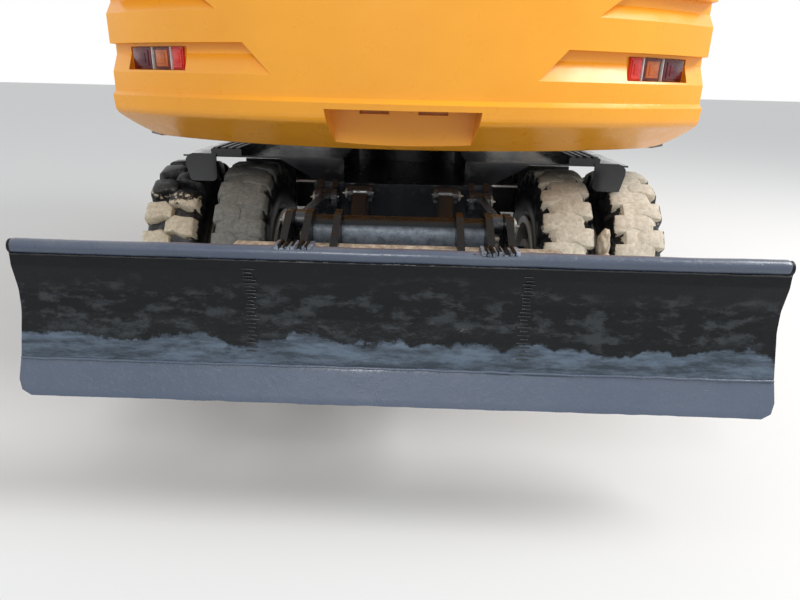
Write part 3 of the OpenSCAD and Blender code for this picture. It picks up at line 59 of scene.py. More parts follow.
def addCamera(s):
    yaw, pitch, roll = (math.radians(s[k]) for k in ("yaw", "pitch", "roll"))
    forward = Vector((math.sin(yaw) * math.cos(pitch), math.cos(yaw) * math.cos(pitch), -math.sin(pitch)))
    level = Vector((math.cos(yaw), -math.sin(yaw), 0))
    down = forward.cross(level)
    right = level * math.cos(roll) - down * math.sin(roll)
    up = -(level * math.sin(roll) + down * math.cos(roll))
    data = bpy.data.cameras.new("rearCamera")
    data.lens = s["lens"]
    data.sensor_width = s["sensor"]
    data.clip_end = 200
    camera = bpy.data.objects.new("rearCamera", data)
    turn = Matrix((right, up, -forward)).transposed().to_4x4()
    camera.matrix_world = Matrix.Translation(s["place"]) @ turn
    bpy.context.collection.objects.link(camera)
    bpy.context.scene.camera = camera


addCamera(cameraSettings)
bpy.context.scene.view_settings.view_transform = "Standard"
print("camera set")


# Floor, soft lamps and a white surround
stageSettings = {
    "floorSize": 190,
    "floorColour": (0.7, 0.695, 0.685, 1),
    "skyColour": (0.95, 0.975, 1.0, 1),
    "skyLevel": 0.8,
    "keyPlace": (7.0, -2.5, 7.5),
    "keySize": 5,
    "keyPower": 720,
    "fillPlace": (-0.8, -9.0, 5.6),
    "fillSize": 2.4,
    "fillPower": 170,
    "aim": (0, 0, 1),
}


def addLamp(name, place, size, power, aim):
    data = bpy.data.lights.new(name, "AREA")
    data.shape = "DISK"
    data.size = size
    data.energy = power
    lamp = bpy.data.objects.new(name, data)
    lamp.location = place
    lamp.rotation_euler = (Vector(aim) - Vector(place)).to_track_quat("-Z", "Y").to_euler()
    bpy.context.collection.objects.link(lamp)


def whiteOnlyForView(tree):
    # 1 for rays from the camera, off glossy surfaces and through glass
    rays = tree.nodes.new("ShaderNodeLightPath").outputs
    seen = combine(tree, "MAXIMUM", rays["Is Camera Ray"], rays["Is Glossy Ray"])
    return combine(tree, "MAXIMUM", seen, rays["Is Transmission Ray"])


def addStage(s):
    world = bpy.data.worlds.new("softSurround")
    bpy.context.scene.world = world
    world.use_nodes = True
    tree = world.node_tree
    tree.nodes.clear()
    output = tree.nodes.new("ShaderNodeOutputWorld")
    light = tree.nodes.new("ShaderNodeBackground")
    light.inputs["Color"].default_value = s["skyColour"]
    light.inputs["Strength"].default_value = s["skyLevel"]
    view = tree.nodes.new("ShaderNodeBackground")
    view.inputs["Color"].default_value = (1, 1, 1, 1)
    view.inputs["Strength"].default_value = 1.0
    mix = tree.nodes.new("ShaderNodeMixShader")
    tree.links.new(whiteOnlyForView(tree), mix.inputs[0])
    tree.links.new(light.outputs[0], mix.inputs[1])
    tree.links.new(view.outputs[0], mix.inputs[2])
    tree.links.new(mix.outputs[0], output.inputs[0])
    addLamp("keyLamp", s["keyPlace"], s["keySize"], s["keyPower"], s["aim"])
    addLamp("fillLamp", s["fillPlace"], s["fillSize"], s["fillPower"], s["aim"])
    bm = bmesh.new()
    bmesh.ops.create_grid(bm, x_segments=1, y_segments=1, size=s["floorSize"] / 2)
    material = newShader("paleFloor", {"Base Color": s["floorColour"], "Roughness": 0.9})[0]
    addObject("floor", bm, material)


def addObject(name, bm, material=None, smooth=None):
    mesh = bpy.data.meshes.new(name)
    bm.to_mesh(mesh)
    bm.free()
    made = bpy.data.objects.new(name, mesh)
    bpy.context.collection.objects.link(made)
    if material:
        mesh.materials.append(material)
    if smooth is not None:
        mesh.shade_smooth()
        if smooth < 180:
            mesh.set_sharp_from_angle(angle=math.radians(smooth))
    return made


# Small helpers for shader nodes
def newShader(name, values):
    material = bpy.data.materials.new(name)
    material.use_nodes = True
    tree = material.node_tree
    tree.nodes.clear()
    output = tree.nodes.new("ShaderNodeOutputMaterial")
    shader = tree.nodes.new("ShaderNodeBsdfPrincipled")
    tree.links.new(shader.outputs["BSDF"], output.inputs["Surface"])
    for socket, value in values.items():
        shader.inputs[socket].default_value = value
    return material, tree, shader


def feed(shader, socket, value):
    shader.id_data.links.new(value, shader.inputs[socket])


def place(tree, stretch=(1, 1, 1), output="Object"):
    coordinates = tree.nodes.new("ShaderNodeTexCoord")
    mapping = tree.nodes.new("ShaderNodeMapping")
    mapping.inputs["Scale"].default_value = stretch
    tree.links.new(coordinates.outputs[output], mapping.inputs["Vector"])
    return mapping.outputs["Vector"]


def clouds(tree, size, detail=4, rough=0.55, stretch=(1, 1, 1)):
    # Noise with patches about size metres across
    node = tree.nodes.new("ShaderNodeTexNoise")
    node.inputs["Scale"].default_value = 1 / size
    node.inputs["Detail"].default_value = detail
    node.inputs["Roughness"].default_value = rough
    tree.links.new(place(tree, stretch), node.inputs["Vector"])
    return node.outputs["Fac"]


def cells(tree, size, stretch=(1, 1, 1), feature="F1"):
    node = tree.nodes.new("ShaderNodeTexVoronoi")
    node.feature = feature
    node.inputs["Scale"].default_value = 1 / size
    tree.links.new(place(tree, stretch), node.inputs["Vector"])
    return node.outputs["Distance"]


def spread(tree, value, low, high, toLow=0.0, toHigh=1.0):
    node = tree.nodes.new("ShaderNodeMapRange")
    for socket, number in (("From Min", low), ("From Max", high), ("To Min", toLow), ("To Max", toHigh)):
        node.inputs[socket].default_value = number
    tree.links.new(value, node.inputs["Value"])
    return node.outputs["Result"]


def combine(tree, kind, a, b):
    node = tree.nodes.new("ShaderNodeMath")
    node.operation = kind
    node.use_clamp = kind == "ADD"
    for socket, item in ((0, a), (1, b)):
        if isinstance(item, (int, float)):
            node.inputs[socket].default_value = item
        else:
            tree.links.new(item, node.inputs[socket])
    return node.outputs[0]


def axisValue(tree, axis, output="Object"):
    node = tree.nodes.new("ShaderNodeSeparateXYZ")
    tree.links.new(place(tree, output=output), node.inputs[0])
    return node.outputs[axis]


def tint(tree, amount, a, b):
    # a where amount is 0 and b where it is 1; each is a colour or a socket
    node = tree.nodes.new("ShaderNodeMix")
    node.data_type = "RGBA"
    tree.links.new(amount, node.inputs["Factor"])
    for socket, item in ((6, a), (7, b)):
        if isinstance(item, tuple):
            node.inputs[socket].default_value = item
        else:
            tree.links.new(item, node.inputs[socket])
    return node.outputs[2]


def relief(tree, shader, layers):
    # Each layer is (height socket, depth in metres)
    normal = None
    for height, depth in layers:
        node = tree.nodes.new("ShaderNodeBump")
        node.inputs["Distance"].default_value = depth
        node.inputs["Strength"].default_value = 1.0
        tree.links.new(height, node.inputs["Height"])
        if normal:
            tree.links.new(normal, node.inputs["Normal"])
        normal = node.outputs["Normal"]
    feed(shader, "Normal", normal)


dustColour = (0.50, 0.42, 0.31, 1)


def dusted(tree, base, amount, patch=0.35):
    # Dust lies on faces that look up, in patches
    up = spread(tree, axisValue(tree, "Z", "Normal"), 0.35, 1.0)
    patches = spread(tree, clouds(tree, patch, 6, 0.65), 0.42, 0.7)
    fine = spread(tree, clouds(tree, 0.012, 3, 0.6), 0.3, 0.7, 0.4, 1.0)
    share = combine(tree, "MULTIPLY", combine(tree, "MULTIPLY", up, patches), fine)
    share = combine(tree, "MULTIPLY", share, amount)
    return tint(tree, share, base, dustColour), share


# Finishes. Colours are scene-linear.
def glossPaint(name, colour, darker, dust, rough=0.3, peel=0.00012, pits=0.0, coat=0.3):
    # peel is the depth of the orange peel and pits that of old chips, in metres
    material, tree, shader = newShader(name, {"Coat Weight": coat, "Coat Roughness": 0.12, "IOR": 1.48})
    base = tint(tree, spread(tree, clouds(tree, 0.7, 5, 0.6), 0.35, 0.7), colour, darker)
    scuffs = spread(tree, clouds(tree, 0.03, 5, 0.7, (0.25, 1, 1)), 0.62, 0.72, 0.0, 0.25)
    base = tint(tree, scuffs, base, darker)
    base, share = dusted(tree, base, dust)
    feed(shader, "Base Color", base)
    uneven = spread(tree, clouds(tree, 0.09, 4), 0.3, 0.7, rough - 0.06, rough + 0.08)
    feed(shader, "Roughness", combine(tree, "ADD", uneven, combine(tree, "MULTIPLY", share, 0.5)))
    layers = [(clouds(tree, 0.006, 2, 0.5), peel), (clouds(tree, 0.12, 3, 0.5), peel * 6)]
    if pits:
        layers.append((spread(tree, clouds(tree, 0.02, 5, 0.7), 0.5, 0.75), pits))
    relief(tree, shader, layers)
    return material


# Old black paint of the blade, with painted reflections and a painted sheen on it. Heights and places are in
# metres.
bladePaintSettings = {
    "wander": 0.045,
    "paintedSheenBelow": (0.652, 0.64),
    "scrapesAndGlintsFrom": (0.64, 0.68),
    "scrapesAndGlintsTo": (0.86, 0.8),
    "lugReflectionFrom": (-2.49, -2.47),
    "lugReflectionFacing": (-0.75, -0.92),
    "black": (0.003, 0.003, 0.003, 1),
    # scraped paint, also painting glints of light off the pits
    "scrapeAndGlint": (0.03, 0.033, 0.036, 1),
    # painted reflections: the blue sheen low on the face, then the pale faces of the lugs
    "paintedSheen": (0.095, 0.125, 0.165, 1),
    "lugEdge": (0.16, 0.18, 0.21, 1),
}


def blackWithPaintedSheen(name, s):
    # Black above; scrapes with painted glints across the middle; low down a painted blue sheen with a wavy
    # top, standing in for the sky's reflection
    material, tree, shader = newShader(name, {
        "Specular IOR Level": 0.3, "IOR": 1.45, "Specular Tint": (0.85, 0.93, 1.0, 1)})
    # painted sheen: below a wavy height the face takes a blue-grey painted reflection of the sky
    wander = spread(tree, clouds(tree, 0.16, 6, 0.62, (0.8, 1, 1)), 0.3, 0.7, -s["wander"], s["wander"])
    height = combine(tree, "ADD", axisValue(tree, "Z"), wander)
    low = spread(tree, height, *s["paintedSheenBelow"])
    # scrapes across the middle, partly painted glints off the pitted band
    middle = combine(tree, "MULTIPLY", spread(tree, height, *s["scrapesAndGlintsFrom"]),
                     spread(tree, height, *s["scrapesAndGlintsTo"]))
    paintedSheenStreaks = spread(tree, clouds(tree, 0.05, 8, 0.72, (0.3, 1, 1.6)), 0.4, 0.6, 0.3, 1.0)
    scrapesAndGlints = spread(tree, clouds(tree, 0.07, 8, 0.7, (0.6, 1, 1.4)), 0.5, 0.6)
    base = tint(tree, combine(tree, "MULTIPLY", middle, scrapesAndGlints), s["black"], s["scrapeAndGlint"])
    # the painted sky reflection, broken into streaks
    base = tint(tree, combine(tree, "MULTIPLY", low, paintedSheenStreaks), base, s["paintedSheen"])
    # painted reflection: the lugs behind the plate turn pale blue-grey where they face the viewer, as if
    # catching the sky
    lugs = combine(tree, "MULTIPLY", spread(tree, axisValue(tree, "Y"), *s["lugReflectionFrom"]),
                   spread(tree, axisValue(tree, "Y", "Normal"), *s["lugReflectionFacing"]))
    # noise that breaks up the painted reflection on the lugs
    worn = spread(tree, clouds(tree, 0.03, 6, 0.7), 0.35, 0.55, 0.45, 1.0)
    feed(shader, "Base Color", tint(tree, combine(tree, "MULTIPLY", lugs, worn), base, s["lugEdge"]))
    feed(shader, "Roughness", spread(tree, clouds(tree, 0.05, 6, 0.65), 0.35, 0.65, 0.16, 0.34))
    relief(tree, shader, [(clouds(tree, 0.004, 3, 0.6), 0.0003),
                          (clouds(tree, 0.016, 6, 0.72, (0.7, 1, 1)), 0.0012),
                          (clouds(tree, 0.09, 5, 0.6, (0.6, 1, 1)), 0.004)])
    return material


def roughSteel(name, colour, worn, size=0.05, metal=0.6, rough=0.5):
    material, tree, shader = newShader(name, {"Metallic": metal})
    mix = spread(tree, clouds(tree, size, 7, 0.7, (1, 0.4, 1)), 0.42, 0.62)
    feed(shader, "Base Color", tint(tree, mix, colour, worn))
    feed(shader, "Roughness", spread(tree, clouds(tree, size * 0.6, 5), 0.3, 0.7, rough - 0.15, rough + 0.15))
    relief(tree, shader, [(clouds(tree, size * 0.25, 6, 0.7), 0.0006)])
    return material


def treadRubber(name, mudDark, mudLight):
    # Dry mud where the piece's own mud value says, broken up at its border; on the left outer tyre's lugs
    # that value also paints sunlight below and shade above
    material, tree, shader = newShader(name, {"IOR": 1.42})
    value = tree.nodes.new("ShaderNodeAttribute")
    value.attribute_name = "mudAndPaintedLight"
    border = spread(tree, clouds(tree, 0.035, 8, 0.66), 0.25, 0.75, -0.45, 0.45)
    share = spread(tree, combine(tree, "ADD", value.outputs["Fac"], border), 0.46, 0.56)
    grain = spread(tree, clouds(tree, 0.02, 6, 0.7), 0.3, 0.75)
    mudAndPaintedLight = tint(tree, grain, mudDark, mudLight)
    worn = spread(tree, clouds(tree, 0.035, 6, 0.7), 0.5, 0.68)
    rubber = tint(tree, worn, (0.008, 0.008, 0.009, 1), (0.06, 0.062, 0.066, 1))
    feed(shader, "Base Color", tint(tree, share, rubber, mudAndPaintedLight))
    feed(shader, "Roughness", spread(tree, share, 0, 1, 0.4, 0.95))
    relief(tree, shader, [(clouds(tree, 0.012, 6, 0.7), 0.0012), (clouds(tree, 0.05, 4, 0.6), 0.002)])
    return material


def lensPlastic(name, colour, deep):
    material, tree, shader = newShader(name, {"Roughness": 0.16, "Coat Weight": 0.3, "Coat Roughness": 0.05})
    feed(shader, "Base Color", tint(tree, spread(tree, clouds(tree, 0.05, 3), 0.35, 0.65), colour, deep))
    relief(tree, shader, [(cells(tree, 0.006), 0.0006)])
    return material


def clearGlass(name):
    material, tree, shader = newShader(name, {
        "Base Color": (0.03, 0.042, 0.042, 1), "IOR": 1.5, "Alpha": 0.3, "Coat Weight": 1.0,
        "Coat Roughness": 0.02})
    feed(shader, "Roughness", spread(tree, clouds(tree, 0.2, 6, 0.6), 0.45, 0.8, 0.02, 0.12))
    return material


def grainPlastic(name, colour, lighter):
    material, tree, shader = newShader(name, {"Roughness": 0.55})
    feed(shader, "Base Color", tint(tree, spread(tree, clouds(tree, 0.15, 5), 0.4, 0.7), colour, lighter))
    relief(tree, shader, [(cells(tree, 0.003), 0.0004)])
    return material


def wovenCloth(name, colour, lighter):
    material, tree, shader = newShader(name, {"Roughness": 0.9, "Sheen Weight": 0.3})
    weave = tree.nodes.new("ShaderNodeTexWave")
    weave.inputs["Scale"].default_value = 160
    weave.inputs["Distortion"].default_value = 1.5
    weave.bands_direction = "DIAGONAL"
    tree.links.new(place(tree), weave.inputs["Vector"])
    feed(shader, "Base Color", tint(tree, weave.outputs["Fac"], colour, lighter))
    relief(tree, shader, [(weave.outputs["Fac"], 0.0006)])
    return material


def polishedRod(name):
    material, tree, shader = newShader(name, {"Metallic": 1.0, "Base Color": (0.78, 0.78, 0.8, 1)})
    feed(shader, "Roughness", spread(tree, clouds(tree, 0.05, 5, 0.6, (1, 0.1, 1)), 0.35, 0.7, 0.08, 0.22))
    relief(tree, shader, [(clouds(tree, 0.004, 2, 0.5, (1, 0.05, 1)), 0.00004)])
    return material


finish = {
    "paint": glossPaint("yellowPaint", (0.88, 0.37, 0.02, 1), (0.8, 0.32, 0.014, 1), 0.14, coat=0.14),
    "black": glossPaint("blackPaint", (0.008, 0.009, 0.012, 1), (0.012, 0.013, 0.016, 1), 0.02, 0.2, 0.0002,
                        0.0006, 0.1),
    "blade": blackWithPaintedSheen("bladePaint", bladePaintSettings),
    # painted sky reflection: the lip's blue-grey colour stands in for the sky it reflects
    "lip": glossPaint("lipPaintedSheen", (0.045, 0.062, 0.1, 1), (0.06, 0.078, 0.115, 1), 0.15, 0.3, 0.0002, 0.0008),
    # worn steel of the cutting edge, tinted blue-grey by a painted sky reflection
    "edge": glossPaint("edgePaintedSheen", (0.055, 0.078, 0.12, 1), (0.075, 0.095, 0.14, 1), 0.1, 0.3, 0.0002,
                       0.0009),
    "weld": glossPaint("weldPaint", (0.004, 0.004, 0.005, 1), (0.012, 0.013, 0.015, 1), 0.0, 0.25, 0.0002,
                       0.0006, 0.0),
    "guard": glossPaint("guardPaint", (0.012, 0.013, 0.015, 1), (0.02, 0.021, 0.024, 1), 0.3, 0.12, 0.00004,
                        0.0, 0.4),
    "rim": glossPaint("rimPaint", (0.30, 0.29, 0.26, 1), (0.22, 0.2, 0.17, 1), 0.9, 0.5),
    "chrome": polishedRod("polishedRod"),
    "red": lensPlastic("redLens", (0.68, 0.03, 0.016, 1), (0.5, 0.012, 0.01, 1)),
    "darkRed": lensPlastic("darkRedLens", (0.13, 0.006, 0.014, 1), (0.06, 0.003, 0.01, 1)),
    "amber": lensPlastic("amberLens", (0.5, 0.11, 0.008, 1), (0.34, 0.07, 0.008, 1)),
    "clear": lensPlastic("clearLens", (0.75, 0.75, 0.72, 1), (0.5, 0.5, 0.5, 1)),
    "glass": clearGlass("cabGlass"),
    "rust": roughSteel("rustedSteel", (0.2, 0.15, 0.105, 1), (0.4, 0.33, 0.25, 1), 0.02, 0.05, 0.85),
    "scraped": roughSteel("scrapedSteel", (0.06, 0.075, 0.1, 1), (0.26, 0.3, 0.36, 1), 0.02, 0.2, 0.45),
    "engine": roughSteel("engineCasting", (0.12, 0.13, 0.13, 1), (0.2, 0.18, 0.15, 1), 0.09, 0.3),
    "bucket": roughSteel("bucketSteel", (0.05, 0.043, 0.036, 1), (0.22, 0.19, 0.16, 1), 0.12, 0.6),
    "bolt": roughSteel("boltSteel", (0.3, 0.29, 0.27, 1), (0.16, 0.13, 0.1, 1), 0.02, 0.7),
    "pipe": roughSteel("exhaustSteel", (0.18, 0.13, 0.09, 1), (0.28, 0.25, 0.22, 1), 0.07, 0.8),
    "plastic": grainPlastic("blackPlastic", (0.018, 0.018, 0.019, 1), (0.035, 0.034, 0.032, 1)),
    "rubber": grainPlastic("sealRubber", (0.012, 0.012, 0.012, 1), (0.022, 0.022, 0.022, 1)),
    "cloth": wovenCloth("seatCloth", (0.02, 0.02, 0.022, 1), (0.06, 0.06, 0.065, 1)),
    "tyreLeftOuter": treadRubber("tyreRubberLeftOuter", (0.4, 0.34, 0.25, 1), (0.74, 0.66, 0.51, 1)),
    # the left inner tyre's mud is greyer and darker than the right's: dust with painted shade
    "tyreLeftInner": treadRubber("tyreRubberLeftInnerShaded", (0.13, 0.13, 0.12, 1), (0.27, 0.27, 0.245, 1)),
    "tyreRightInner": treadRubber("tyreRubberRightInner", (0.42, 0.37, 0.29, 1), (0.74, 0.68, 0.56, 1)),
    "tyreRightOuter": treadRubber("tyreRubberRightOuter", (0.4, 0.35, 0.27, 1), (0.7, 0.64, 0.53, 1)),
    "clod": roughSteel("driedMud", (0.36, 0.29, 0.21, 1), (0.6, 0.52, 0.4, 1), 0.03, 0.0, 0.95),
}

slotFinish = {
    "body_paint": "paint", "dark_paint": "black", "rim_paint": "rim", "rod_chrome": "chrome",
    "lamp_red": "red", "lamp_amber": "amber", "engine_grey": "engine", "pane": "glass",
    "seat_fabric": "cloth", "control_plastic": "plastic", "exhaust_steel": "pipe",
    "rail_paint": "plastic", "lamp_clear": "clear", "bucket_steel": "bucket", "edge_steel": "blade",
    "tyre": "tyreLeftOuter",
}
ownFinish = {"blade_mouldboard": "blade", "blade_edge": "edge", "mudguards": "guard"}


def finishNodes():
    for row in frame["record"]["subparts"]:
        name = row["node"]
        made = nodes[name]
        made.data.materials.clear()
        made.data.materials.append(finish[ownFinish.get(name, slotFinish[row["material_slot"]])])


finishNodes()
addStage(stageSettings)
print("finishes given")


# Mesh helpers
def addBlock(bm, low, high, edge=0.0, segments=2):
    # A block between two opposite corners; gives back its corners
    low, high = Vector(low), Vector(high)
    made = bmesh.ops.create_cube(bm, size=1)["verts"]
    bmesh.ops.scale(bm, vec=[abs(d) for d in high - low], verts=made)
    bmesh.ops.translate(bm, vec=(low + high) / 2, verts=made)
    return roundEdges(bm, made, edge, segments)


def fromPlace(at, point, side=1):
    # A point given from a place, mirrored where side is -1
    return Vector((at[0] + side * point[0], at[1] + point[1], at[2] + point[2]))


def addBlocks(bm, rows, at=(0, 0, 0), side=1):
    # Rows of (low corner, high corner, edge, segments), given from a place
    for low, high, *rest in rows:
        addBlock(bm, fromPlace(at, low, side), fromPlace(at, high, side), *rest)


def addBars(bm, rows, at=(0, 0, 0), side=1):
    # Rows of (start, end, radius, edge, sides), as for blocks
    for start, end, *rest in rows:
        addBar(bm, fromPlace(at, start, side), fromPlace(at, end, side), *rest)


def turnCorners(bm, corners, angle, axis, at=(0, 0, 0)):
    # Turns about the origin, by an angle in radians, and then moves
    bmesh.ops.rotate(bm, cent=(0, 0, 0), matrix=Matrix.Rotation(angle, 3, axis), verts=corners)
    bmesh.ops.translate(bm, vec=at, verts=corners)


def cutAcross(bm, cuts):
    # Cuts the edges that run along X
    across = [e for e in bm.edges if abs(e.verts[0].co.x - e.verts[1].co.x) > 0.5]
    bmesh.ops.subdivide_edges(bm, edges=across, cuts=cuts, use_grid_fill=True)


def roundEdges(bm, corners, edge, segments=2, above=0.5):
    # Rounds the edges of these corners that turn by more than above radians
    if not edge:
        return corners
    edges = {e for v in corners for e in v.link_edges if e.is_manifold and e.calc_face_angle(0) > above}
    others = set(bm.verts) - set(corners)
    bmesh.ops.bevel(bm, geom=list(edges), offset=edge, offset_type="OFFSET", affect="EDGES",
                    segments=segments, profile=0.5, material=-1, clamp_overlap=True)
    return [v for v in bm.verts if v not in others]


def towards(start, end):
    # Turns a shape drawn along Z to run from start to end
    along = Vector(end) - Vector(start)
    turn = along.to_track_quat("Z", "Y").to_matrix().to_4x4()
    return Matrix.Translation((Vector(start) + Vector(end)) / 2) @ turn, along.length


def addBar(bm, start, end, radius, edge=0.0, sides=28, endRadius=None):
    matrix, length = towards(start, end)
    endRadius = radius if endRadius is None else endRadius
    made = bmesh.ops.create_cone(bm, cap_ends=True, segments=sides, radius1=radius, radius2=endRadius,
                                 depth=length, matrix=matrix)["verts"]
    roundEdges(bm, made, edge, above=0.9)


def addBolt(bm, at, direction, size):
    # Washer, six-sided head and a short thread end
    at, way = Vector(at), Vector(direction).normalized()
    addBar(bm, at, at + way * size * 0.18, size * 1.15, size * 0.05, 20)
    addBar(bm, at + way * size * 0.18, at + way * size * 0.95, size, size * 0.12, 6)
    addBar(bm, at + way * size * 0.9, at + way * size * 1.3, size * 0.5, size * 0.06, 12)


def addPin(bm, at, direction, radius, height):
    # Head of a pin: a collar, a chamfered end and a grease nipple in its middle
    at, way = Vector(at), Vector(direction).normalized()
    addBar(bm, at, at + way * height * 0.6, radius * 1.25, radius * 0.1, 32)
    addBar(bm, at + way * height * 0.6, at + way * height, radius, radius * 0.12, 32)
    addBar(bm, at + way * height, at + way * (height + 0.006), 0.006, 0.001, 8)
    addBar(bm, at + way * (height + 0.006), at + way * (height + 0.013), 0.0035, 0.0008, 8)


def addPipe(bm, points, radius, sides=12):
    # A tube through the points, made ring by ring
    points = [Vector(p) for p in points]
    rings = []
    for i, point in enumerate(points):
        ahead = points[min(i + 1, len(points) - 1)] - points[max(i - 1, 0)]
        matrix = Matrix.Translation(point) @ ahead.to_track_quat("Z", "Y").to_matrix().to_4x4()
        made = bmesh.ops.create_circle(bm, cap_ends=i in (0, len(points) - 1), segments=sides,
                                       radius=radius, matrix=matrix)["verts"]
        rings.append(list({e for v in made for e in v.link_edges}))
    for a, b in zip(rings, rings[1:]):
        bmesh.ops.bridge_loops(bm, edges=a + b)


def bendPoints(corners, radius, steps=6):
    # Rounds the corners of a route of points
    corners = [Vector(c) for c in corners]
    out = [corners[0]]
    for before, here, after in zip(corners, corners[1:], corners[2:]):
        a, b = (before - here).normalized(), (after - here).normalized()
        reach = min(radius, (before - here).length * 0.45, (after - here).length * 0.45)
        start, end = here + a * reach, here + b * reach
        for i in range(steps + 1):
            t = i / steps
            out.append(start.lerp(here, t).lerp(here.lerp(end, t), t))
    return out + [corners[-1]]


def addRoute(bm, corners, turns, radius, sides, steps=6):
    addPipe(bm, bendPoints(corners, turns, steps), radius, sides)


def addLathe(bm, rows, centre, axis, steps=64):
    # Rows are (distance along the axis, radius), spun about the axis
    centre, axis = Vector(centre), Vector(axis).normalized()
    side = axis.orthogonal().normalized()
    line = [bm.verts.new(centre + axis * a + side * r) for a, r in rows]
    edges = [bm.edges.new(pair) for pair in zip(line, line[1:])]
    before = set(bm.faces)
    bmesh.ops.spin(bm, geom=line + edges, cent=centre, axis=axis, angle=math.tau, steps=steps, use_merge=True)
    made = list({v for f in bm.faces if f not in before for v in f.verts})
    bmesh.ops.remove_doubles(bm, verts=made, dist=0.00005)
    return made


def addPlate(bm, outline, way, edge=0.0, segments=2):
    # A flat outline of points, thickened along way
    face = bm.faces.new([bm.verts.new(p) for p in outline])
    raised = bmesh.ops.extrude_face_region(bm, geom=[face])["geom"]
    top = [v for v in raised if isinstance(v, bmesh.types.BMVert)]
    bmesh.ops.translate(bm, vec=way, verts=top)
    corners = top + list(face.verts)
    bmesh.ops.recalc_face_normals(bm, faces=list({f for v in corners for f in v.link_faces}))
    return roundEdges(bm, corners, edge, segments)


def roughen(corners, depth, size, seed=0.0):
    # Moves corners by smooth noise with bumps about size metres across
    for v in corners:
        at = v.co / size + Vector((seed, seed * 1.7, seed * 0.6))
        v.co += Vector(noise.noise_vector(at)) * depth

def finishPiece(name, bm, material, body, smooth=40, stands=()):
    bmesh.ops.recalc_face_normals(bm, faces=bm.faces)
    piece = addObject(name, bm, finish[material], smooth)
    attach(piece, body)
    if stands:
        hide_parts(*stands)
    return piece


# Wheels: corner, side, place of the axle
wheels = [("front_left", -1, 1.52), ("front_right", 1, 1.52),
          ("rear_left", -1, -1.18), ("rear_right", 1, -1.18)]
axleHeight = 0.525

# Tyres: a spun carcass with two rows of chunky lugs, and mud between them
tyreSettings = {
    "outerMiddle": 1.105,
    "twinPitch": 0.325,
    "outer": 0.5235,
    "lugCount": 22,
    "lugEdge": 0.0045,
    "lugDraft": 0.009,
    "lugWear": 0.0013,
    "wearPatch": 0.035,
    "carcassSteps": 120,
    # half of the carcass, from the bead to the middle: (from the middle, radius)
    "carcass": [(0.1, 0.254), (0.108, 0.262), (0.1165, 0.284), (0.122, 0.3), (0.121, 0.304), (0.126, 0.335),
                (0.1305, 0.365), (0.132, 0.39), (0.1305, 0.412), (0.126, 0.434), (0.118, 0.455),
                (0.105, 0.47), (0.085, 0.4785), (0.062, 0.4815), (0.04, 0.4825), (0.02, 0.483), (0.0, 0.483)],
    # a lug from past the middle to the sidewall: (across, top radius, foot radius, middle along, half length)
    "lug": [(-0.012, 0.5225, 0.474, -0.012, 0.026), (0.028, 0.5248, 0.474, 0.01, 0.038),
            (0.066, 0.5246, 0.472, -0.003, 0.043), (0.1, 0.5225, 0.46, -0.004, 0.044),
            (0.1165, 0.5125, 0.448, -0.003, 0.043), (0.1235, 0.486, 0.436, -0.002, 0.041),
            (0.1295, 0.455, 0.424, 0.0, 0.038), (0.1335, 0.426, 0.412, 0.0, 0.034)],
    "footFlare": 0.006,  # how far the foot of a lug's outer end stands past its top
    # by side and place: depth of the mud in the tread, half width it fills, mud on the lugs and the height it
    # reaches; on the left outer tyre that height also paints sunlight on the lower lugs and shade on the
    # upper ones
    "mudAndPaintedLight": {(-1, 0): (0.004, 0.02, 0.95, 0.98), (-1, 1): (0.04, 0.125, 0.85, 2.0),
            (1, 1): (0.046, 0.096, 0.9, 2.0), (1, 0): (0.045, 0.092, 0.9, 2.0)},
    "mudFrom": 0.46,  # radius at which the tread begins
    "mudBorder": 0.022,
    "mudWander": 0.016,
    "fullMud": 0.02,  # depth from which mud covers in full
    "lugMudFrom": 0.455,
    "lugMudAndShadeFade": 0.12,
    "lugBorder": 0.012,
    "seeds": (3.1, 7.7),  # by place and by side
    # lumps of mud stuck between the right twins: middle, half sizes
    "clod": [((0.944, -1.612, 0.772), (0.03, 0.036, 0.07)), ((0.95, -1.642, 0.7), (0.026, 0.028, 0.034))],
    "clodBumps": [(1.6, 0.28), (5, 0.1)],
}


def ramp(value, length):
    # 0 below nothing, 1 from length on
    return min(max(value / length, 0), 1)


def addLugs(bm, s):
    # One lug is bent to its rows, rounded and spun, and the row is mirrored half a pitch on
    rows = s["lug"]
    last = len(rows) - 1
    bmesh.ops.create_cube(bm, size=1)
    cutAcross(bm, last - 1)
    for v in bm.verts:
        x, top, foot, middle, half = rows[round((v.co.x + 0.5) * last)]
        outer = v.co.z > 0
        along = middle + v.co.y * 2 * (half if outer else half + s["lugDraft"])
        radius = top if outer else foot
        across = -x if outer or x < 0.1 else s["footFlare"] - x
        v.co = Vector((across, radius * math.sin(along / radius), radius * math.cos(along / radius)))
    bmesh.ops.recalc_face_normals(bm, faces=bm.faces)
    roundEdges(bm, bm.verts[:], s["lugEdge"], 2, 0.6)
    steps = s["lugCount"] - 1
    bmesh.ops.spin(bm, geom=bm.verts[:] + bm.edges[:] + bm.faces[:], cent=(0, 0, 0), axis=(1, 0, 0),
                   angle=math.tau * steps / s["lugCount"], steps=steps, use_duplicate=True)
    made = bmesh.ops.duplicate(bm, geom=bm.verts[:] + bm.edges[:] + bm.faces[:])["geom"]
    corners = [v for v in made if isinstance(v, bmesh.types.BMVert)]
    bmesh.ops.scale(bm, vec=(-1, 1, 1), verts=corners)
    turnCorners(bm, corners, math.pi / s["lugCount"], "X")


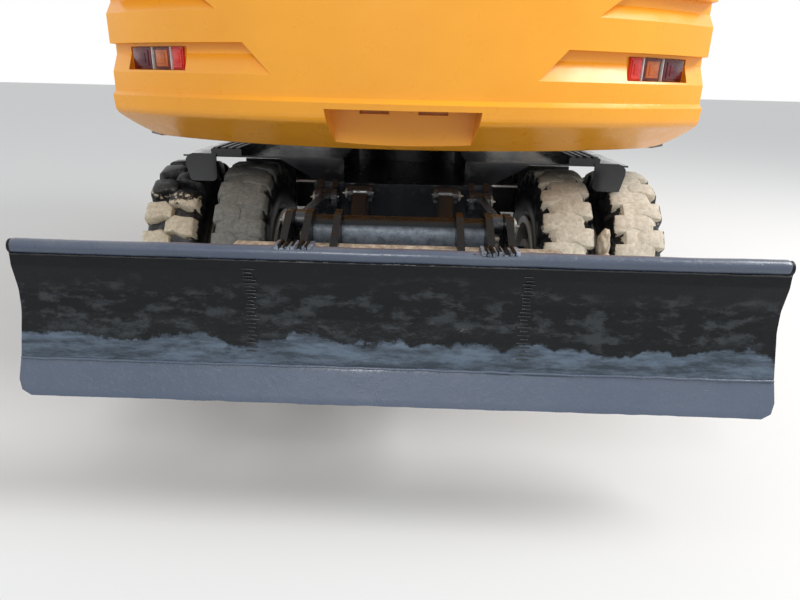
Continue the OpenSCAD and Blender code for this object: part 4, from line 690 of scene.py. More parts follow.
def buildTyre(s, corner, side, axleY, index):
    # index is 0 for the outer and 1 for the inner tyre of a pair
    bm = bmesh.new()
    layer = bm.verts.layers.float.new("mudAndPaintedLight")
    addLugs(bm, s)
    lugs = bm.verts[:]
    half = s["carcass"]
    rows = [(-a, r) for a, r in half] + [(a, r) for a, r in reversed(half[:-1])]
    carcass = addLathe(bm, rows, (0, 0, 0), (1, 0, 0), s["carcassSteps"])
    seed = s["seeds"][0] * index + s["seeds"][1] * side + axleY
    depth, width, onLugs, top = s["mudAndPaintedLight"][side, index]
    for v in carcass:
        flat = math.hypot(v.co.y, v.co.z)
        wander = s["mudWander"] * noise.noise(v.co / 0.045 + Vector((0, seed, 0)))
        share = ramp(width + wander - abs(v.co.x), s["mudBorder"]) if flat > s["mudFrom"] else 0
        v[layer] = share * min(1, depth / s["fullMud"])
        lift = depth * share * (0.86 + 0.3 * noise.noise(v.co / 0.07 + Vector((seed, 0, 0))))
        lift = min(lift, max(s["outer"] - flat, 0))
        v.co.y *= 1 + lift / flat
        v.co.z *= 1 + lift / flat
    for v in lugs:
        flat = math.hypot(v.co.y, v.co.z)
        # painted light: on the left outer tyre the mud on the lugs stops at a height, so the lower lugs read
        # as sunlit and the upper ones as shaded
        low = ramp(top - axleHeight - v.co.z, s["lugMudAndShadeFade"])
        clean = ramp(abs(v.co.x) - width - s["lugBorder"], s["fullMud"]) if index or side > 0 else 0
        v[layer] = onLugs * low * (1 - clean) * ramp(flat - s["lugMudFrom"], s["fullMud"])
    roughen(lugs, s["lugWear"], s["wearPatch"], seed)
    middle = side * (s["outerMiddle"] - index * s["twinPitch"])
    bmesh.ops.translate(bm, vec=(middle, axleY, axleHeight), verts=bm.verts)
    spot = ("outer", "inner")[index]
    rubber = "tyre" + ("Left" if side < 0 else "Right") + spot.capitalize()
    finishPiece(f"tyre_{corner}_{spot}", bm, rubber, corner + "_wheels",
                stands=() if index else ("tyres_" + corner,))


def buildClod(s):
    bm = bmesh.new()
    for middle, sizes in s["clod"]:
        made = bmesh.ops.create_icosphere(bm, subdivisions=4, radius=1)["verts"]
        for v in made:
            v.co *= 1 + sum(depth * noise.noise(v.co * scale) for scale, depth in s["clodBumps"])
        bmesh.ops.scale(bm, vec=sizes, verts=made)
        bmesh.ops.translate(bm, vec=middle, verts=made)
    finishPiece("tyre_mud_clod", bm, "clod", "rear_right_wheels", 180)


for corner, side, axleY in wheels:
    for index in (0, 1):
        buildTyre(tyreSettings, corner, side, axleY, index)
buildClod(tyreSettings)
print("tyres done")


# Dozer blade, in metres. Rows of its face are (place, height), from the foot up.
bladeSettings = {
    "face": [(-2.5853, 0.5217), (-2.5243, 0.7177), (-2.5183, 0.7897), (-2.5333, 0.8737), (-2.5293, 0.9447)],
    "half": 1.25,
    "proud": 0.0035,
    "columns": 420,
    "rowsUp": 96,
    "low": 0.5577,
    "high": 0.9227,
    "dent": 0.0022,
    "pit": 0.0032,
    "pitBand": (0.66, 0.83),
    "lipMiddle": (-2.5153, 0.9347),
    "lipRadius": 0.0255,
    "lipSteps": 260,
    # rounded ends of the lip: (from the blade's end, share of the radius)
    "lipEnds": [(0.001, 0.0), (0.0015, 0.55), (0.006, 0.85), (0.014, 1.0)],
}
weldSettings = {
    # bead above the cutting edge, and bead under the lip
    "edgeSeam": {"count": 300, "inset": 0.004, "height": 0.5657, "swing": 0.003, "patch": 0.07, "seed": 2.2,
                 "proud": 0.0055, "rough": 0.0012},
    "lipSeam": {"count": 250, "inset": 0.006, "height": 0.9132, "swing": 0.001, "patch": 0.05, "seed": 1.2,
                "proud": 0.0045, "rough": 0.0},
    # short beads one above another, over the lugs behind the plate
    "columns": (-0.475, 0.425),
    "from": 0.61,
    "to": 0.895,
    "pitch": 0.0125,
    "half": (0.011, 0.012),  # least half length, and what chance adds
    "shift": 0.008,
    "radius": 0.0023,
}
edgeSettings = {
    "top": 0.5694,
    "foot": 0.4497,
    "inset": 0.0005,
    "place": -2.5733,
    "slope": 0.45,
    "thick": 0.025,
    # worn corner: (from the end, up from the foot)
    "corner": [(0, 0.05), (0.012, 0.018), (0.045, 0)],
    "cuts": 120,
    "levels": (0.475, 0.5, 0.525, 0.548),
    "edge": 0.0035,
    "wavyBelow": 0.012,
}
bladeTopSettings = {
    "strip": ((-0.544, -2.499, 0.9405), (0.544, -2.404, 0.9447), 0.0012),
    "stripCuts": 60,
    "stopMiddle": 0.33,
    "stopBase": ((-0.062, -2.532, 0.9395), (0.062, -2.455, 0.953), 0.0025),
    "toothCount": 7,
    "toothPitch": 0.018,
    "tooth": ((-0.0075, -2.534, 0.9405), (0.0075, -2.459, 0.9655), 0.002),
    "toothSteps": (0, 0.008, 0.004),  # how much lower each tooth is, in turn
    "wear": 0.0012,
}


def wave(x, y=0.0, z=0.0):
    return noise.noise(Vector((x, y, z)))


def faceAt(s, height):
    # Place of the face along Y at a height
    for (y0, z0), (y1, z1) in zip(s["face"], s["face"][1:]):
        if height <= z1:
            break
    return y0 + (y1 - y0) * (height - z0) / (z1 - z0)


def dentAt(s, x, z):
    # Shallow dents all over, and a band of pits along the bend
    low = wave(x / 0.32, z / 0.13, 1.3)
    mid = wave(x / 0.09, z / 0.05, 4.1)
    bandLow, bandHigh = s["pitBand"]
    centre, width = (bandLow + bandHigh) / 2, (bandHigh - bandLow) / 2
    inBand = max(0.0, 1 - ((z - centre) / width) ** 2)
    pits = max(0.0, wave(x / 0.034, z / 0.026, 8.8) - 0.18)
    return s["dent"] * (low + 0.45 * mid) + s["pit"] * inBand * pits


def buildBladeFace(s):
    bm = bmesh.new()
    bmesh.ops.create_grid(bm, x_segments=s["columns"], y_segments=s["rowsUp"], size=0.5)
    back = bmesh.ops.extrude_edge_only(bm, edges=[e for e in bm.edges if e.is_boundary])["geom"]
    turnedIn = {v for v in back if isinstance(v, bmesh.types.BMVert)}
    for v in bm.verts:
        x = v.co.x * 2 * (s["half"] - 0.002)
        z = s["low"] + (v.co.y + 0.5) * (s["high"] - s["low"])
        depth = -0.004 if v in turnedIn else s["proud"] + dentAt(s, x, z)
        v.co = Vector((x, faceAt(s, z) - depth, z))
    finishPiece("blade_face_skin", bm, "blade", "blade", 60)


def buildLip(s):
    # The rolled lip, beaten a little out of true, with rounded ends
    bm = bmesh.new()
    y, z = s["lipMiddle"]
    steps = s["lipSteps"]
    ends = [(s["half"] - inset, s["lipRadius"] * share) for inset, share in s["lipEnds"]]
    reach = ends[-1][0]
    between = [(reach * (2 * i / steps - 1), s["lipRadius"]) for i in range(1, steps)]
    addLathe(bm, [(-x, r) for x, r in ends] + between + ends[::-1], (0, y, z), (1, 0, 0), 28)
    for v in bm.verts:
        v.co.z += wave(v.co.x / 0.22, 0.4, 0.2) * 0.0022 + noise.noise(v.co / 0.03) * 0.0006
        v.co.y += wave(v.co.x / 0.3, 7.4, 0.2) * 0.0016
    finishPiece("blade_lip_skin", bm, "lip", "blade", 60)


def seamPoints(blade, s):
    # A bead right across the blade, wandering a little
    points = []
    for i in range(s["count"] + 1):
        x = (blade["half"] - s["inset"]) * (2 * i / s["count"] - 1)
        z = s["height"] + s["swing"] * wave(x / s["patch"], s["seed"])
        points.append((x, faceAt(blade, z) - s["proud"] + s["rough"] * wave(x / 0.02, 5.0), z))
    return points


def buildWelds(blade, s):
    bm = bmesh.new()
    addPipe(bm, seamPoints(blade, s["edgeSeam"]), 0.0045, 8)
    finishPiece("cutting_edge_seam", bm, "edge", "blade", 60)
    bm = bmesh.new()
    chance = random.Random(11)
    for middle in s["columns"]:
        z = s["from"]
        while z < s["to"]:
            half = s["half"][0] + chance.random() * s["half"][1]
            x = middle + (chance.random() - 0.5) * s["shift"]
            y = faceAt(blade, z) - blade["proud"] - 0.001
            bead = [(x - half, y, z), (x, y - 0.0015, z + 0.001), (x + half, y, z - 0.001)]
            addPipe(bm, bead, s["radius"], 6)
            z += s["pitch"]
    addPipe(bm, seamPoints(blade, s["lipSeam"]), 0.0038, 6)
    finishPiece("blade_weld_beads", bm, "weld", "blade", 60)


def buildCuttingEdge(blade, s):
    # The bolted-on wear strip, with worn corners and a wavy foot
    bm = bmesh.new()
    half = blade["half"] - s["inset"]
    corners = [(-half, s["top"])] + [(inset - half, s["foot"] + up) for inset, up in s["corner"]]
    outline = corners + [(-x, z) for x, z in reversed(corners)]
    addPlate(bm, [(x, 0, z) for x, z in outline], (0, s["thick"], 0))
    cuts = [((half * (2 * i / s["cuts"] - 1), 0, 0), (1, 0, 0)) for i in range(1, s["cuts"])]
    for at, way in cuts + [((0, 0, z), (0, 0, 1)) for z in s["levels"]]:
        bmesh.ops.bisect_plane(bm, geom=bm.verts[:] + bm.edges[:] + bm.faces[:], plane_co=at, plane_no=way)
    bmesh.ops.recalc_face_normals(bm, faces=bm.faces)
    roundEdges(bm, bm.verts[:], s["edge"], 2, 0.9)
    for v in bm.verts:
        x, z = v.co.x, v.co.z
        if z < s["foot"] + s["wavyBelow"]:
            v.co.z += 0.002 + 0.004 * max(0, wave(x / 0.06, 3.3)) + 0.003 * wave(x / 0.4, 9.1)
        v.co.y += s["place"] - (s["top"] - z) * s["slope"] + 0.0012 * wave(x / 0.05, z / 0.04)
    finishPiece("cutting_edge_plate", bm, "edge", "blade", stands=("blade_edge",))


def buildBladeTop(s):
    # Rusty strip on the beam behind the lip, and the worn stop blocks
    bm = bmesh.new()
    addBlock(bm, *s["strip"])
    cutAcross(bm, s["stripCuts"])
    roughen(bm.verts, s["wear"], 0.03, 5.0)
    finishPiece("blade_rust_strip", bm, "rust", "blade")
    bm = bmesh.new()
    for side in (-1, 1):
        middle = side * s["stopMiddle"]
        for i in range(s["toothCount"]):
            x = middle + (i - (s["toothCount"] - 1) / 2) * s["toothPitch"]
            made = addBlock(bm, s["tooth"][0], Vector(s["tooth"][1]) - Vector((0, 0, s["toothSteps"][i % 3])),
                            s["tooth"][2])
            bmesh.ops.translate(bm, vec=(x, 0, 0), verts=made)
        bmesh.ops.translate(bm, vec=(middle, 0, 0), verts=addBlock(bm, *s["stopBase"]))
    roughen(bm.verts, s["wear"], 0.012, 2.0)
    finishPiece("blade_stop_teeth", bm, "scraped", "blade")


buildBladeFace(bladeSettings)
buildLip(bladeSettings)
buildWelds(bladeSettings, weldSettings)
buildCuttingEdge(bladeSettings, edgeSettings)
buildBladeTop(bladeTopSettings)
print("blade done")


# Tail lamps: stepped square lenses with thin pale walls between them
lampSettings = {
    # inner side and outer side of each lens
    "cells": {"tail_lamp_red": (0.866, 0.9235), "tail_lamp_amber": (0.9265, 1.0185),
              "tail_lamp_dark": (1.0215, 1.14)},
    # finish, slot and the nodes it stands for
    "finishes": {"tail_lamp_red": ("red", "lamp_red", ("tail_lamps_red",)),
                 "tail_lamp_amber": ("amber", "lamp_amber", ("tail_lamps_amber",)),
                 "tail_lamp_dark": ("darkRed", "lamp_red", ())},
    "walls": [0.925, 1.02],
    "wallHalf": 0.0016,
    "wallOut": 0.006,
    "back": 2.0285,
    "front": 2.041,
    "low": 1.4865,
    "high": 1.5715,
    # steps of a lens: (share of its size, how far it stands out)
    "steps": [(1.0, 0.0), (0.74, 0.004), (0.46, 0.007)],
    "ribs": 7,
    "ribFoot": 0.006,
    "ribInset": 0.004,
    "ribTall": 0.0085,
    "ribOut": 0.0045,
}


def addLens(bm, s, half, out, low, high, angle, back=None, edge=0.002):
    # A block on the rear face, turned about the machine's middle
    made = addBlock(bm, (-half, -s["front"] - out, low), (half, -(back or s["back"]), high), edge)
    turnCorners(bm, made, angle, "Z")


def buildTailLamps(s):
    meshes = {name: bmesh.new() for name in s["cells"]}
    middle, tall = (s["low"] + s["high"]) / 2, (s["high"] - s["low"]) / 2
    for name, (inner, outer) in s["cells"].items():
        half = (outer - inner) / 2
        angle = math.asin((inner + outer) / 2 / s["back"])
        for side in (-1, 1):
            for share, out in s["steps"]:
                # the widest step of the amber lens is red
                owner = "tail_lamp_dark" if name == "tail_lamp_amber" and share == 1.0 else name
                low, high = middle - tall * share, middle + tall * share
                addLens(meshes[owner], s, half * share, out, low, high, side * angle)
            if name == "tail_lamp_red":
                for i in range(s["ribs"]):
                    z = s["low"] + s["ribFoot"] + 2 * i * (tall - s["ribFoot"]) / s["ribs"]
                    addLens(meshes[name], s, half - s["ribInset"], s["ribOut"], z, z + s["ribTall"],
                            side * angle, s["front"])
    for name, (material, slot, stands) in s["finishes"].items():
        finishPiece(name, meshes[name], material, "upper", stands=stands)
    bm = bmesh.new()
    for x in s["walls"]:
        for side in (-1, 1):
            angle = side * math.asin(x / s["back"])
            addLens(bm, s, s["wallHalf"], s["wallOut"], s["low"], s["high"], angle, edge=0.0006)
    finishPiece("tail_lamp_walls", bm, "clear", "upper")


buildTailLamps(lampSettings)
print("tail lamps done")


# Bolts on the hubs and round the slewing ring
boltSettings = {
    # from the middle, radius of the ring, how many, bolt size
    "rings": [(0.9665, 0.1615, 10, 0.0105), (1.165, 0.128, 12, 0.0095), (1.19, 0.062, 6, 0.007)],
    # caps of a hub, from its axle's middle
    "caps": [((1.189, 0, 0), (1.2, 0, 0), 0.03, 0.003), ((1.163, 0, 0), (1.169, 0, 0), 0.108, 0.003, 48)],
    "seatHeight": 1.0895,
    "seatRadius": 0.578,
    "seatBolts": 36,
    "seatBoltSize": 0.012,
}


def ringPoint(middle, radius, i, count, shift=0.0):
    # One of count points round a middle given by two numbers
    angle = math.tau * (i + shift) / count
    return middle[0] + radius * math.cos(angle), middle[1] + radius * math.sin(angle)


def buildWheelBolts(s):
    for corner, side, axleY in wheels:
        bm = bmesh.new()
        for x, radius, count, size in s["rings"]:
            for i in range(count):
                at = (side * x, *ringPoint((axleY, axleHeight), radius, i, count, 0.5))
                addBolt(bm, at, (side, 0, 0), size)
        addBars(bm, s["caps"], (0, axleY, axleHeight), side)
        finishPiece(corner + "_hub_bolts", bm, "bolt", corner + "_wheels")


def buildRingBolts(s):
    bm = bmesh.new()
    for i in range(s["seatBolts"]):
        x, y = ringPoint((0, 0), s["seatRadius"], i, s["seatBolts"])
        addBolt(bm, (x, y, s["seatHeight"]), (0, 0, 1), s["seatBoltSize"])
    finishPiece("ring_bolts", bm, "bolt", "chassis")


buildWheelBolts(boltSettings)
buildRingBolts(boltSettings)


# The boom, the arm and the bucket are drawn along their own slopes: start, slope in degrees
linkFrames = {"world": (Vector((0, 0, 0)), 0.0), "boom": (Vector((0, 0.25, 1.85)), 18.5)}


def inFrame(kind, x, along, up):
    # A point given along and square to the boom, the arm or the bucket
    start, slope = linkFrames[kind]
    c, d = math.cos(math.radians(slope)), math.sin(math.radians(slope))
    return start + Vector((x, along * c - up * d, along * d + up * c))


linkFrames["arm"] = (inFrame("boom", 0, 4.6, 0), -98.0)
linkFrames["bucket"] = (inFrame("arm", 0, 2.3, 0), 200.0)

# Heads of the pins
pinSettings = {
    "height": 0.011,
    "sunk": 0.001,
    # piece, body, [(frame, along, up, half distance apart, radius)]
    "rows": [
        ("boom_foot_pin_heads", "upper", [("boom", 0, 0, 0.216, 0.045)]),
        ("boom_pin_heads", "boom", [("boom", 4.6, 0.0, 0.19, 0.04), ("boom", 2.25, 0.9, 0.1, 0.034)]),
        ("boom_ram_pin_heads", "boom_cylinder_rods", [("boom", 1.7, 0.4, 0.322, 0.032)]),
        ("arm_pin_heads", "arm", [("arm", -0.6, 0.1, 0.0755, 0.034), ("arm", 0.42, 0.33, 0.09, 0.028),
                                  ("arm", 1.88, 0.02, 0.17, 0.032)]),
        ("rocker_pin_heads", "bucket_rocker", [("world", 4.65653, 1.07221, 0.177, 0.032)]),
        ("bucket_pin_heads", "bucket", [("bucket", 0, 0, 0.1875, 0.034),
                                        ("bucket", 0.01936, 0.36949, 0.1875, 0.03)]),
        ("blade_pin_heads", "blade", [("world", -2.2713, 0.5897, 0.375, 0.023),
                                      ("world", -2.2713, 0.9897, 0.403, 0.023)]),
        ("chassis_pin_heads", "chassis", [("world", -1.642, 0.56, 0.3765, 0.023),
                                          ("world", -1.642, 0.96, 0.3975, 0.023),
                                          ("world", -1.662, 0.985, 0.2495, 0.019)]),
    ],
}


def buildPinHeads(s):
    for name, body, rows in s["rows"]:
        bm = bmesh.new()
        for kind, along, up, half, radius in rows:
            for side in (-1, 1):
                at = inFrame(kind, side * (half - s["sunk"]), along, up)
                addPin(bm, at, (side, 0, 0), radius, s["height"])
        finishPiece(name, bm, "bolt", body)


buildPinHeads(pinSettings)
print("bolts and pins done")


# Steel pipes on the boom and the arm, with their clamps
pipeSettings = {
    "boomRoute": [(0.27, 0.235), (0.28, 0.306), (0.44, 0.374), (1.373, 0.792), (2.154, 0.824), (3.7, 0.368),
                  (3.97, 0.287), (3.99, 0.225)],
    "turns": 0.06,
    "boomAcross": [0.098, 0.131],
    "radius": 0.0125,
    "nut": (0.035, 0.021),  # length, radius
    "clampsAt": [(0.62, 0.455), (1.05, 0.647), (2.55, 0.705), (3.0, 0.575), (3.5, 0.427)],
    "clamp": ((-0.034, -0.024, -0.031), (0.034, 0.024, 0.017), 0.004),
    "bend": 1.37,
    "clampSlopes": (42.5, 2.0),  # before and past the bend of the boom
    "clampBolt": (0.0165, 0.008),  # height, size
    "armRoute": [(-0.18, 0.12), (0.02, 0.125), (0.3, 0.14), (0.4, 0.19)],
    "armAcross": 0.14,
    "armShifts": (0.0, -0.036),
    "armRadius": 0.01125,
    "armClampsAt": [(-0.08, 0.105), (0.2, 0.115)],
    "armClamp": ((-0.016, -0.02, -0.038), (0.016, 0.02, 0.038), 0.003),
    "armSlope": -98.0,
}


def buildPipes(s):
    bm = bmesh.new()
    long, wide = s["nut"]
    for across in s["boomAcross"]:
        for side in (-1, 1):
            route = [inFrame("boom", side * across, a, b) for a, b in s["boomRoute"]]
            addRoute(bm, route, s["turns"], s["radius"], 16, 8)
            for end, after in (route[:2], route[:-3:-1]):
                addBar(bm, end, end + (after - end).normalized() * long, wide, 0.002, 6)
    finishPiece("boom_pipes", bm, "paint", "boom")
    bm = bmesh.new()
    middle = sum(s["boomAcross"]) / 2
    high, size = s["clampBolt"]
    for a, b in s["clampsAt"]:
        slope = math.radians(s["clampSlopes"][a > s["bend"]])
        up = Vector((0, -math.sin(slope), math.cos(slope)))
        for side in (-1, 1):
            at = inFrame("boom", side * middle, a, b)
            turnCorners(bm, addBlock(bm, *s["clamp"]), slope, "X", at)
            addBolt(bm, at + up * high, up, size)
    finishPiece("boom_pipe_clamps", bm, "black", "boom")
    bm = bmesh.new()
    for side in (-1, 1):
        for shift in s["armShifts"]:
            route = [inFrame("arm", side * s["armAcross"], a, b + shift) for a, b in s["armRoute"]]
            addRoute(bm, route, s["turns"], s["armRadius"], 14)
        for a, b in s["armClampsAt"]:
            at = inFrame("arm", side * (s["armAcross"] - 0.001), a, b)
            turnCorners(bm, addBlock(bm, *s["armClamp"]), math.radians(s["armSlope"]), "X", at)
    finishPiece("arm_pipes", bm, "paint", "arm")


buildPipes(pipeSettings)
print("pipes done")


# Rubber seals round the windows
sealSettings = {
    # body, the axis they lie across with their place on it, low corner, high corner
    "seals": [("cab_door", "X", -1.2425, (0.19, 1.82), (1.1, 2.8903)),
              ("upper", "X", -1.2405, (-0.31, 1.9), (0.06, 2.9503)),
              ("upper", "X", -0.3595, (-0.31, 1.9), (1.23, 2.9503)),
              ("upper", "Y", -0.4, (-1.13, 2.35), (-0.47, 2.9))],
    "corner": 0.05,
    "radius": 0.0095,
}


def loopPoints(low, high, corner, steps=5):
    # A rounded rectangle of (a, b) points
    out = []
    for a, b, start in ((high[0] - corner, high[1] - corner, 0), (low[0] + corner, high[1] - corner, 90),
                        (low[0] + corner, low[1] + corner, 180), (high[0] - corner, low[1] + corner, 270)):
        for i in range(steps + 1):
            angle = math.radians(start + 90 * i / steps)
            out.append((a + corner * math.cos(angle), b + corner * math.sin(angle)))
    return out


def buildSeals(s):
    for body in ("cab_door", "upper"):
        bm = bmesh.new()
        for owner, axis, at, low, high in s["seals"]:
            if owner == body:
                loop = loopPoints(low, high, s["corner"])
                points = [(at, a, b) if axis == "X" else (a, at, b) for a, b in loop]
                addPipe(bm, points + points[:2], s["radius"], 10)
        finishPiece("window_seals_" + body, bm, "rubber", body)


# Cab door: handle in its cup, lock, grab bar and ribs
doorTrimSettings = {
    "cup": [((-1.25, 1.0, 1.62), (-1.2415, 1.13, 1.74), 0.004)],
    # handle, its two feet and the lock
    "bars": [((-1.262, 1.015, 1.7), (-1.262, 1.105, 1.7), 0.009, 0.003),
             ((-1.247, 1.02, 1.7), (-1.262, 1.02, 1.7), 0.007, 0.001, 12),
             ((-1.247, 1.1, 1.7), (-1.262, 1.1, 1.7), 0.007, 0.001, 12),
             ((-1.2495, 1.06, 1.65), (-1.2535, 1.06, 1.65), 0.012, 0.001, 20)],
    "grabBar": [(-1.2415, 0.2, 1.5), (-1.285, 0.2, 1.5), (-1.285, 0.2, 1.74), (-1.2415, 0.2, 1.74)],
    "grabTurns": 0.03,
    "grabRadius": 0.011,
    "ribs": [((-1.2445, 0.2, z), (-1.2415, 1.12, z + 0.014), 0.0015) for z in (1.36, 1.4)],
}


def buildDoorTrim(s):
    bm = bmesh.new()
    addBlocks(bm, s["cup"])
    addBars(bm, s["bars"])
    addRoute(bm, s["grabBar"], s["grabTurns"], s["grabRadius"], 12, 5)
    finishPiece("cab_door_handles", bm, "plastic", "cab_door")
    bm = bmesh.new()
    addBlocks(bm, s["ribs"])
    finishPiece("cab_door_ribs", bm, "plastic", "cab_door")


# Roof: raised panel with its hatch, and rain strips along both sides
roofSettings = {
    "panels": [((-1.14, -0.22, 3.099), (-0.46, 1.0, 3.118), 0.012, 3),
               ((-1.02, 0.0, 3.117), (-0.58, 0.62, 3.132), 0.01, 3)],
    # two hinges and the grip of the hatch
    "bars": [((-0.97, 0.02, 3.137), (-0.91, 0.02, 3.137), 0.009, 0.002, 16),
             ((-0.69, 0.02, 3.137), (-0.63, 0.02, 3.137), 0.009, 0.002, 16),
             ((-0.86, 0.6, 3.138), (-0.74, 0.6, 3.138), 0.007, 0.002, 12)],
    "stripsAt": (-1.236, -0.364),
    "strip": [(-0.3, 2.975), (-0.2, 3.02), (1.05, 3.02), (1.2, 2.9)],
    "stripTurns": 0.1,
    "stripRadius": 0.008,
}


def buildRoof(s):
    bm = bmesh.new()
    addBlocks(bm, s["panels"])
    finishPiece("roof_panels", bm, "paint", "upper")
    bm = bmesh.new()
    addBars(bm, s["bars"])
    for x in s["stripsAt"]:
        addRoute(bm, [(x, y, z) for y, z in s["strip"]], s["stripTurns"], s["stripRadius"], 8)
    finishPiece("roof_trim", bm, "rubber", "upper")


wiperSettings = {
    "motor": ((-0.8, 1.332, 1.54), (-0.8, 1.372, 1.54), 0.018, 0.003, 20),
    "arm": [(-0.8, 1.37, 1.54), (-0.83, 1.372, 1.75), (-0.9, 1.37, 2.2)],
    "armRadius": 0.006,
    "blade": ((-0.906, 1.352, 1.95), (-0.894, 1.368, 2.48), 0.002),
}


def buildWiper(s):
    bm = bmesh.new()
    addBar(bm, *s["motor"])
    addPipe(bm, s["arm"], s["armRadius"], 8)
    addBlock(bm, *s["blade"])
    finishPiece("wiper", bm, "plastic", "upper")


# Work lamps, each with a ribbed glass. Blocks are from the foot of the housing's front.
workLampSettings = {
    "lamps": [("roof", (-1.12, 1.152, 3.106)), ("roof", (-0.48, 1.152, 3.106)),
              ("front", (1.105, 1.202, 1.2875))],
    "roof": {"housing": ((-0.0575, -0.08, 0), (0.0575, 0, 0.0975), 0.008, 3),
             "glass": ((-0.048, -0.004, 0.008), (0.048, 0.005, 0.088), 0.004),
             "rib": ((-0.042, 0.001, 0.017), (0.042, 0.0085, 0.027), 0.003),
             "ribs": 4},
    "front": {"housing": ((-0.0625, -0.05, 0), (0.0625, 0, 0.115), 0.008, 3),
              "glass": ((-0.052, -0.004, 0.0105), (0.052, 0.005, 0.1045), 0.004),
              "rib": ((-0.045, 0.001, 0.0185), (0.045, 0.0085, 0.0285), 0.003),
              "ribs": 5},
    "ribPitch": 0.017,
    "stalks": [((x, 1.11, 3.098), (x, 1.11, 3.11), 0.014, 0.002, 16) for x in (-1.12, -0.48)],
}


def buildWorkLamps(s):
    housing = bmesh.new()
    glass = bmesh.new()
    for kind, at in s["lamps"]:
        lamp = s[kind]
        addBlocks(housing, [lamp["housing"]], at)
        addBlocks(glass, [lamp["glass"]], at)
        for i in range(lamp["ribs"]):
            addBlocks(glass, [lamp["rib"]], fromPlace(at, (0, 0, i * s["ribPitch"])))
    addBars(housing, s["stalks"])
    finishPiece("lamp_housings", housing, "plastic", "upper", stands=("work_lamps",))
    finishPiece("lamp_glasses", glass, "clear", "upper")


mirrorSettings = {
    "places": [(-1.2, 1.505, 2.4), (1.1835, 0.895, 2.47)],
    # about a mirror's place
    "shell": ((-0.0925, -0.002, -0.153), (0.0913, 0.037, 0.153), 0.016, 4),
    "face": ((-0.08, -0.0045, -0.14), (0.08, 0.004, 0.14), 0.004),
    "stalk": ((0, 0.03, 0), (0, 0.06, 0), 0.022, 0.003, 20),
}


def buildMirrors(s):
    shell = bmesh.new()
    shine = bmesh.new()
    for at in s["places"]:
        addBlocks(shell, [s["shell"]], at)
        addBlocks(shine, [s["face"]], at)
        addBars(shell, [s["stalk"]], at)
    finishPiece("mirror_shells", shell, "plastic", "upper")
    finishPiece("mirror_faces", shine, "chrome", "upper")


# Controls, seen through the glass. Places are from the foot of the seat.
controlSettings = {
    "seatFoot": (-0.8, 0, 1.2853),
    "consoleX": 0.32,
    # on each console: moulded cap, arm rest and four switches
    "caps": [((-0.064, -0.15, 0.559), (0.064, 0.43, 0.585), 0.012, 3),
             ((-0.045, -0.13, 0.58), (0.045, 0.2, 0.64), 0.02, 4)]
    + [((-0.045 + 0.024 * i, 0.24, 0.583), (-0.027 + 0.024 * i, 0.275, 0.592), 0.003) for i in range(4)],
    # lever: foot and head, its bellows and its grip
    "lever": ((0, 0.37, 0.585), (-0.01, 0.39, 0.74)),
    "bellows": (5, 0.012, 0.034, 0.003),  # how many, height, radius, how much narrower each is
    "button": ((-0.02, -0.03, 0.04), (0.02, 0.02, 0.075), 0.01, 3),
    "monitor": ((-0.5, 1.0, 2.0), (-0.42, 1.03, 2.14), 0.008, 3),
    "monitorArm": [(-0.46, 1.03, 2.02), (-0.46, 1.09, 2.0), (-0.42, 1.15, 1.95)],
    "wheelMiddle": (0, 0.635, 0.715),
    "wheelTilt": 20,
    "boss": [(-0.022, 0.0), (-0.022, 0.03), (0.016, 0.045), (0.024, 0.03), (0.026, 0.0)],
    "spokes": [((side * 0.03, y, 0.0), (side * 0.162, y * 0.6, 0.0), 0.008, 0.001, 10)
               for side in (-1, 1) for y in (-0.022, 0.022)],
    "pedalX": 0.09,
    "pedal": [((-0.045, 0.845, 0.058), (0.045, 1.005, 0.068), 0.004)]
    + [((-0.04, 0.86 + 0.024 * i, 0.067), (0.04, 0.87 + 0.024 * i, 0.073), 0.002) for i in range(6)],
    "mat": ((-0.38, -0.28, -0.001), (0.38, 1.18, 0.0045), 0.0015),
}


def buildControls(s):
    seat = s["seatFoot"]
    bm = bmesh.new()
    count, tall, radius, narrower = s["bellows"]
    for side in (-1, 1):
        console = fromPlace(seat, (side * s["consoleX"], 0, 0))
        addBlocks(bm, s["caps"], console)
        foot, head = (fromPlace(console, end, side) for end in s["lever"])
        for i in range(count):
            at = foot.lerp(head, 0.05 + i * 0.1)
            addBar(bm, at, at + Vector((0, 0, tall)), radius - i * narrower, 0.003, 24)
        addBar(bm, foot.lerp(head, 0.6), head + Vector((0, 0, 0.05)), 0.021, 0.006, 20, 0.027)
        addBlocks(bm, [s["button"]], head)
    addBlock(bm, *s["monitor"])
    addRoute(bm, s["monitorArm"], 0.03, 0.009, 10, 5)
    finishPiece("control_grips", bm, "plastic", "upper")
    bm = bmesh.new()
    addLathe(bm, s["boss"], (0, 0, 0), (0, 0, 1), 32)
    addBars(bm, s["spokes"])
    turnCorners(bm, bm.verts, math.radians(s["wheelTilt"]), "X", fromPlace(seat, s["wheelMiddle"]))
    finishPiece("steering_boss", bm, "plastic", "upper")
    bm = bmesh.new()
    for side in (-1, 1):
        addBlocks(bm, s["pedal"], fromPlace(seat, (side * s["pedalX"], 0, 0)))
    addBlocks(bm, [s["mat"]], seat)
    finishPiece("pedal_pads", bm, "rubber", "upper")


buildSeals(sealSettings)
buildDoorTrim(doorTrimSettings)
buildRoof(roofSettings)
buildWiper(wiperSettings)
buildWorkLamps(workLampSettings)
buildMirrors(mirrorSettings)
buildControls(controlSettings)
print("cab trim done")


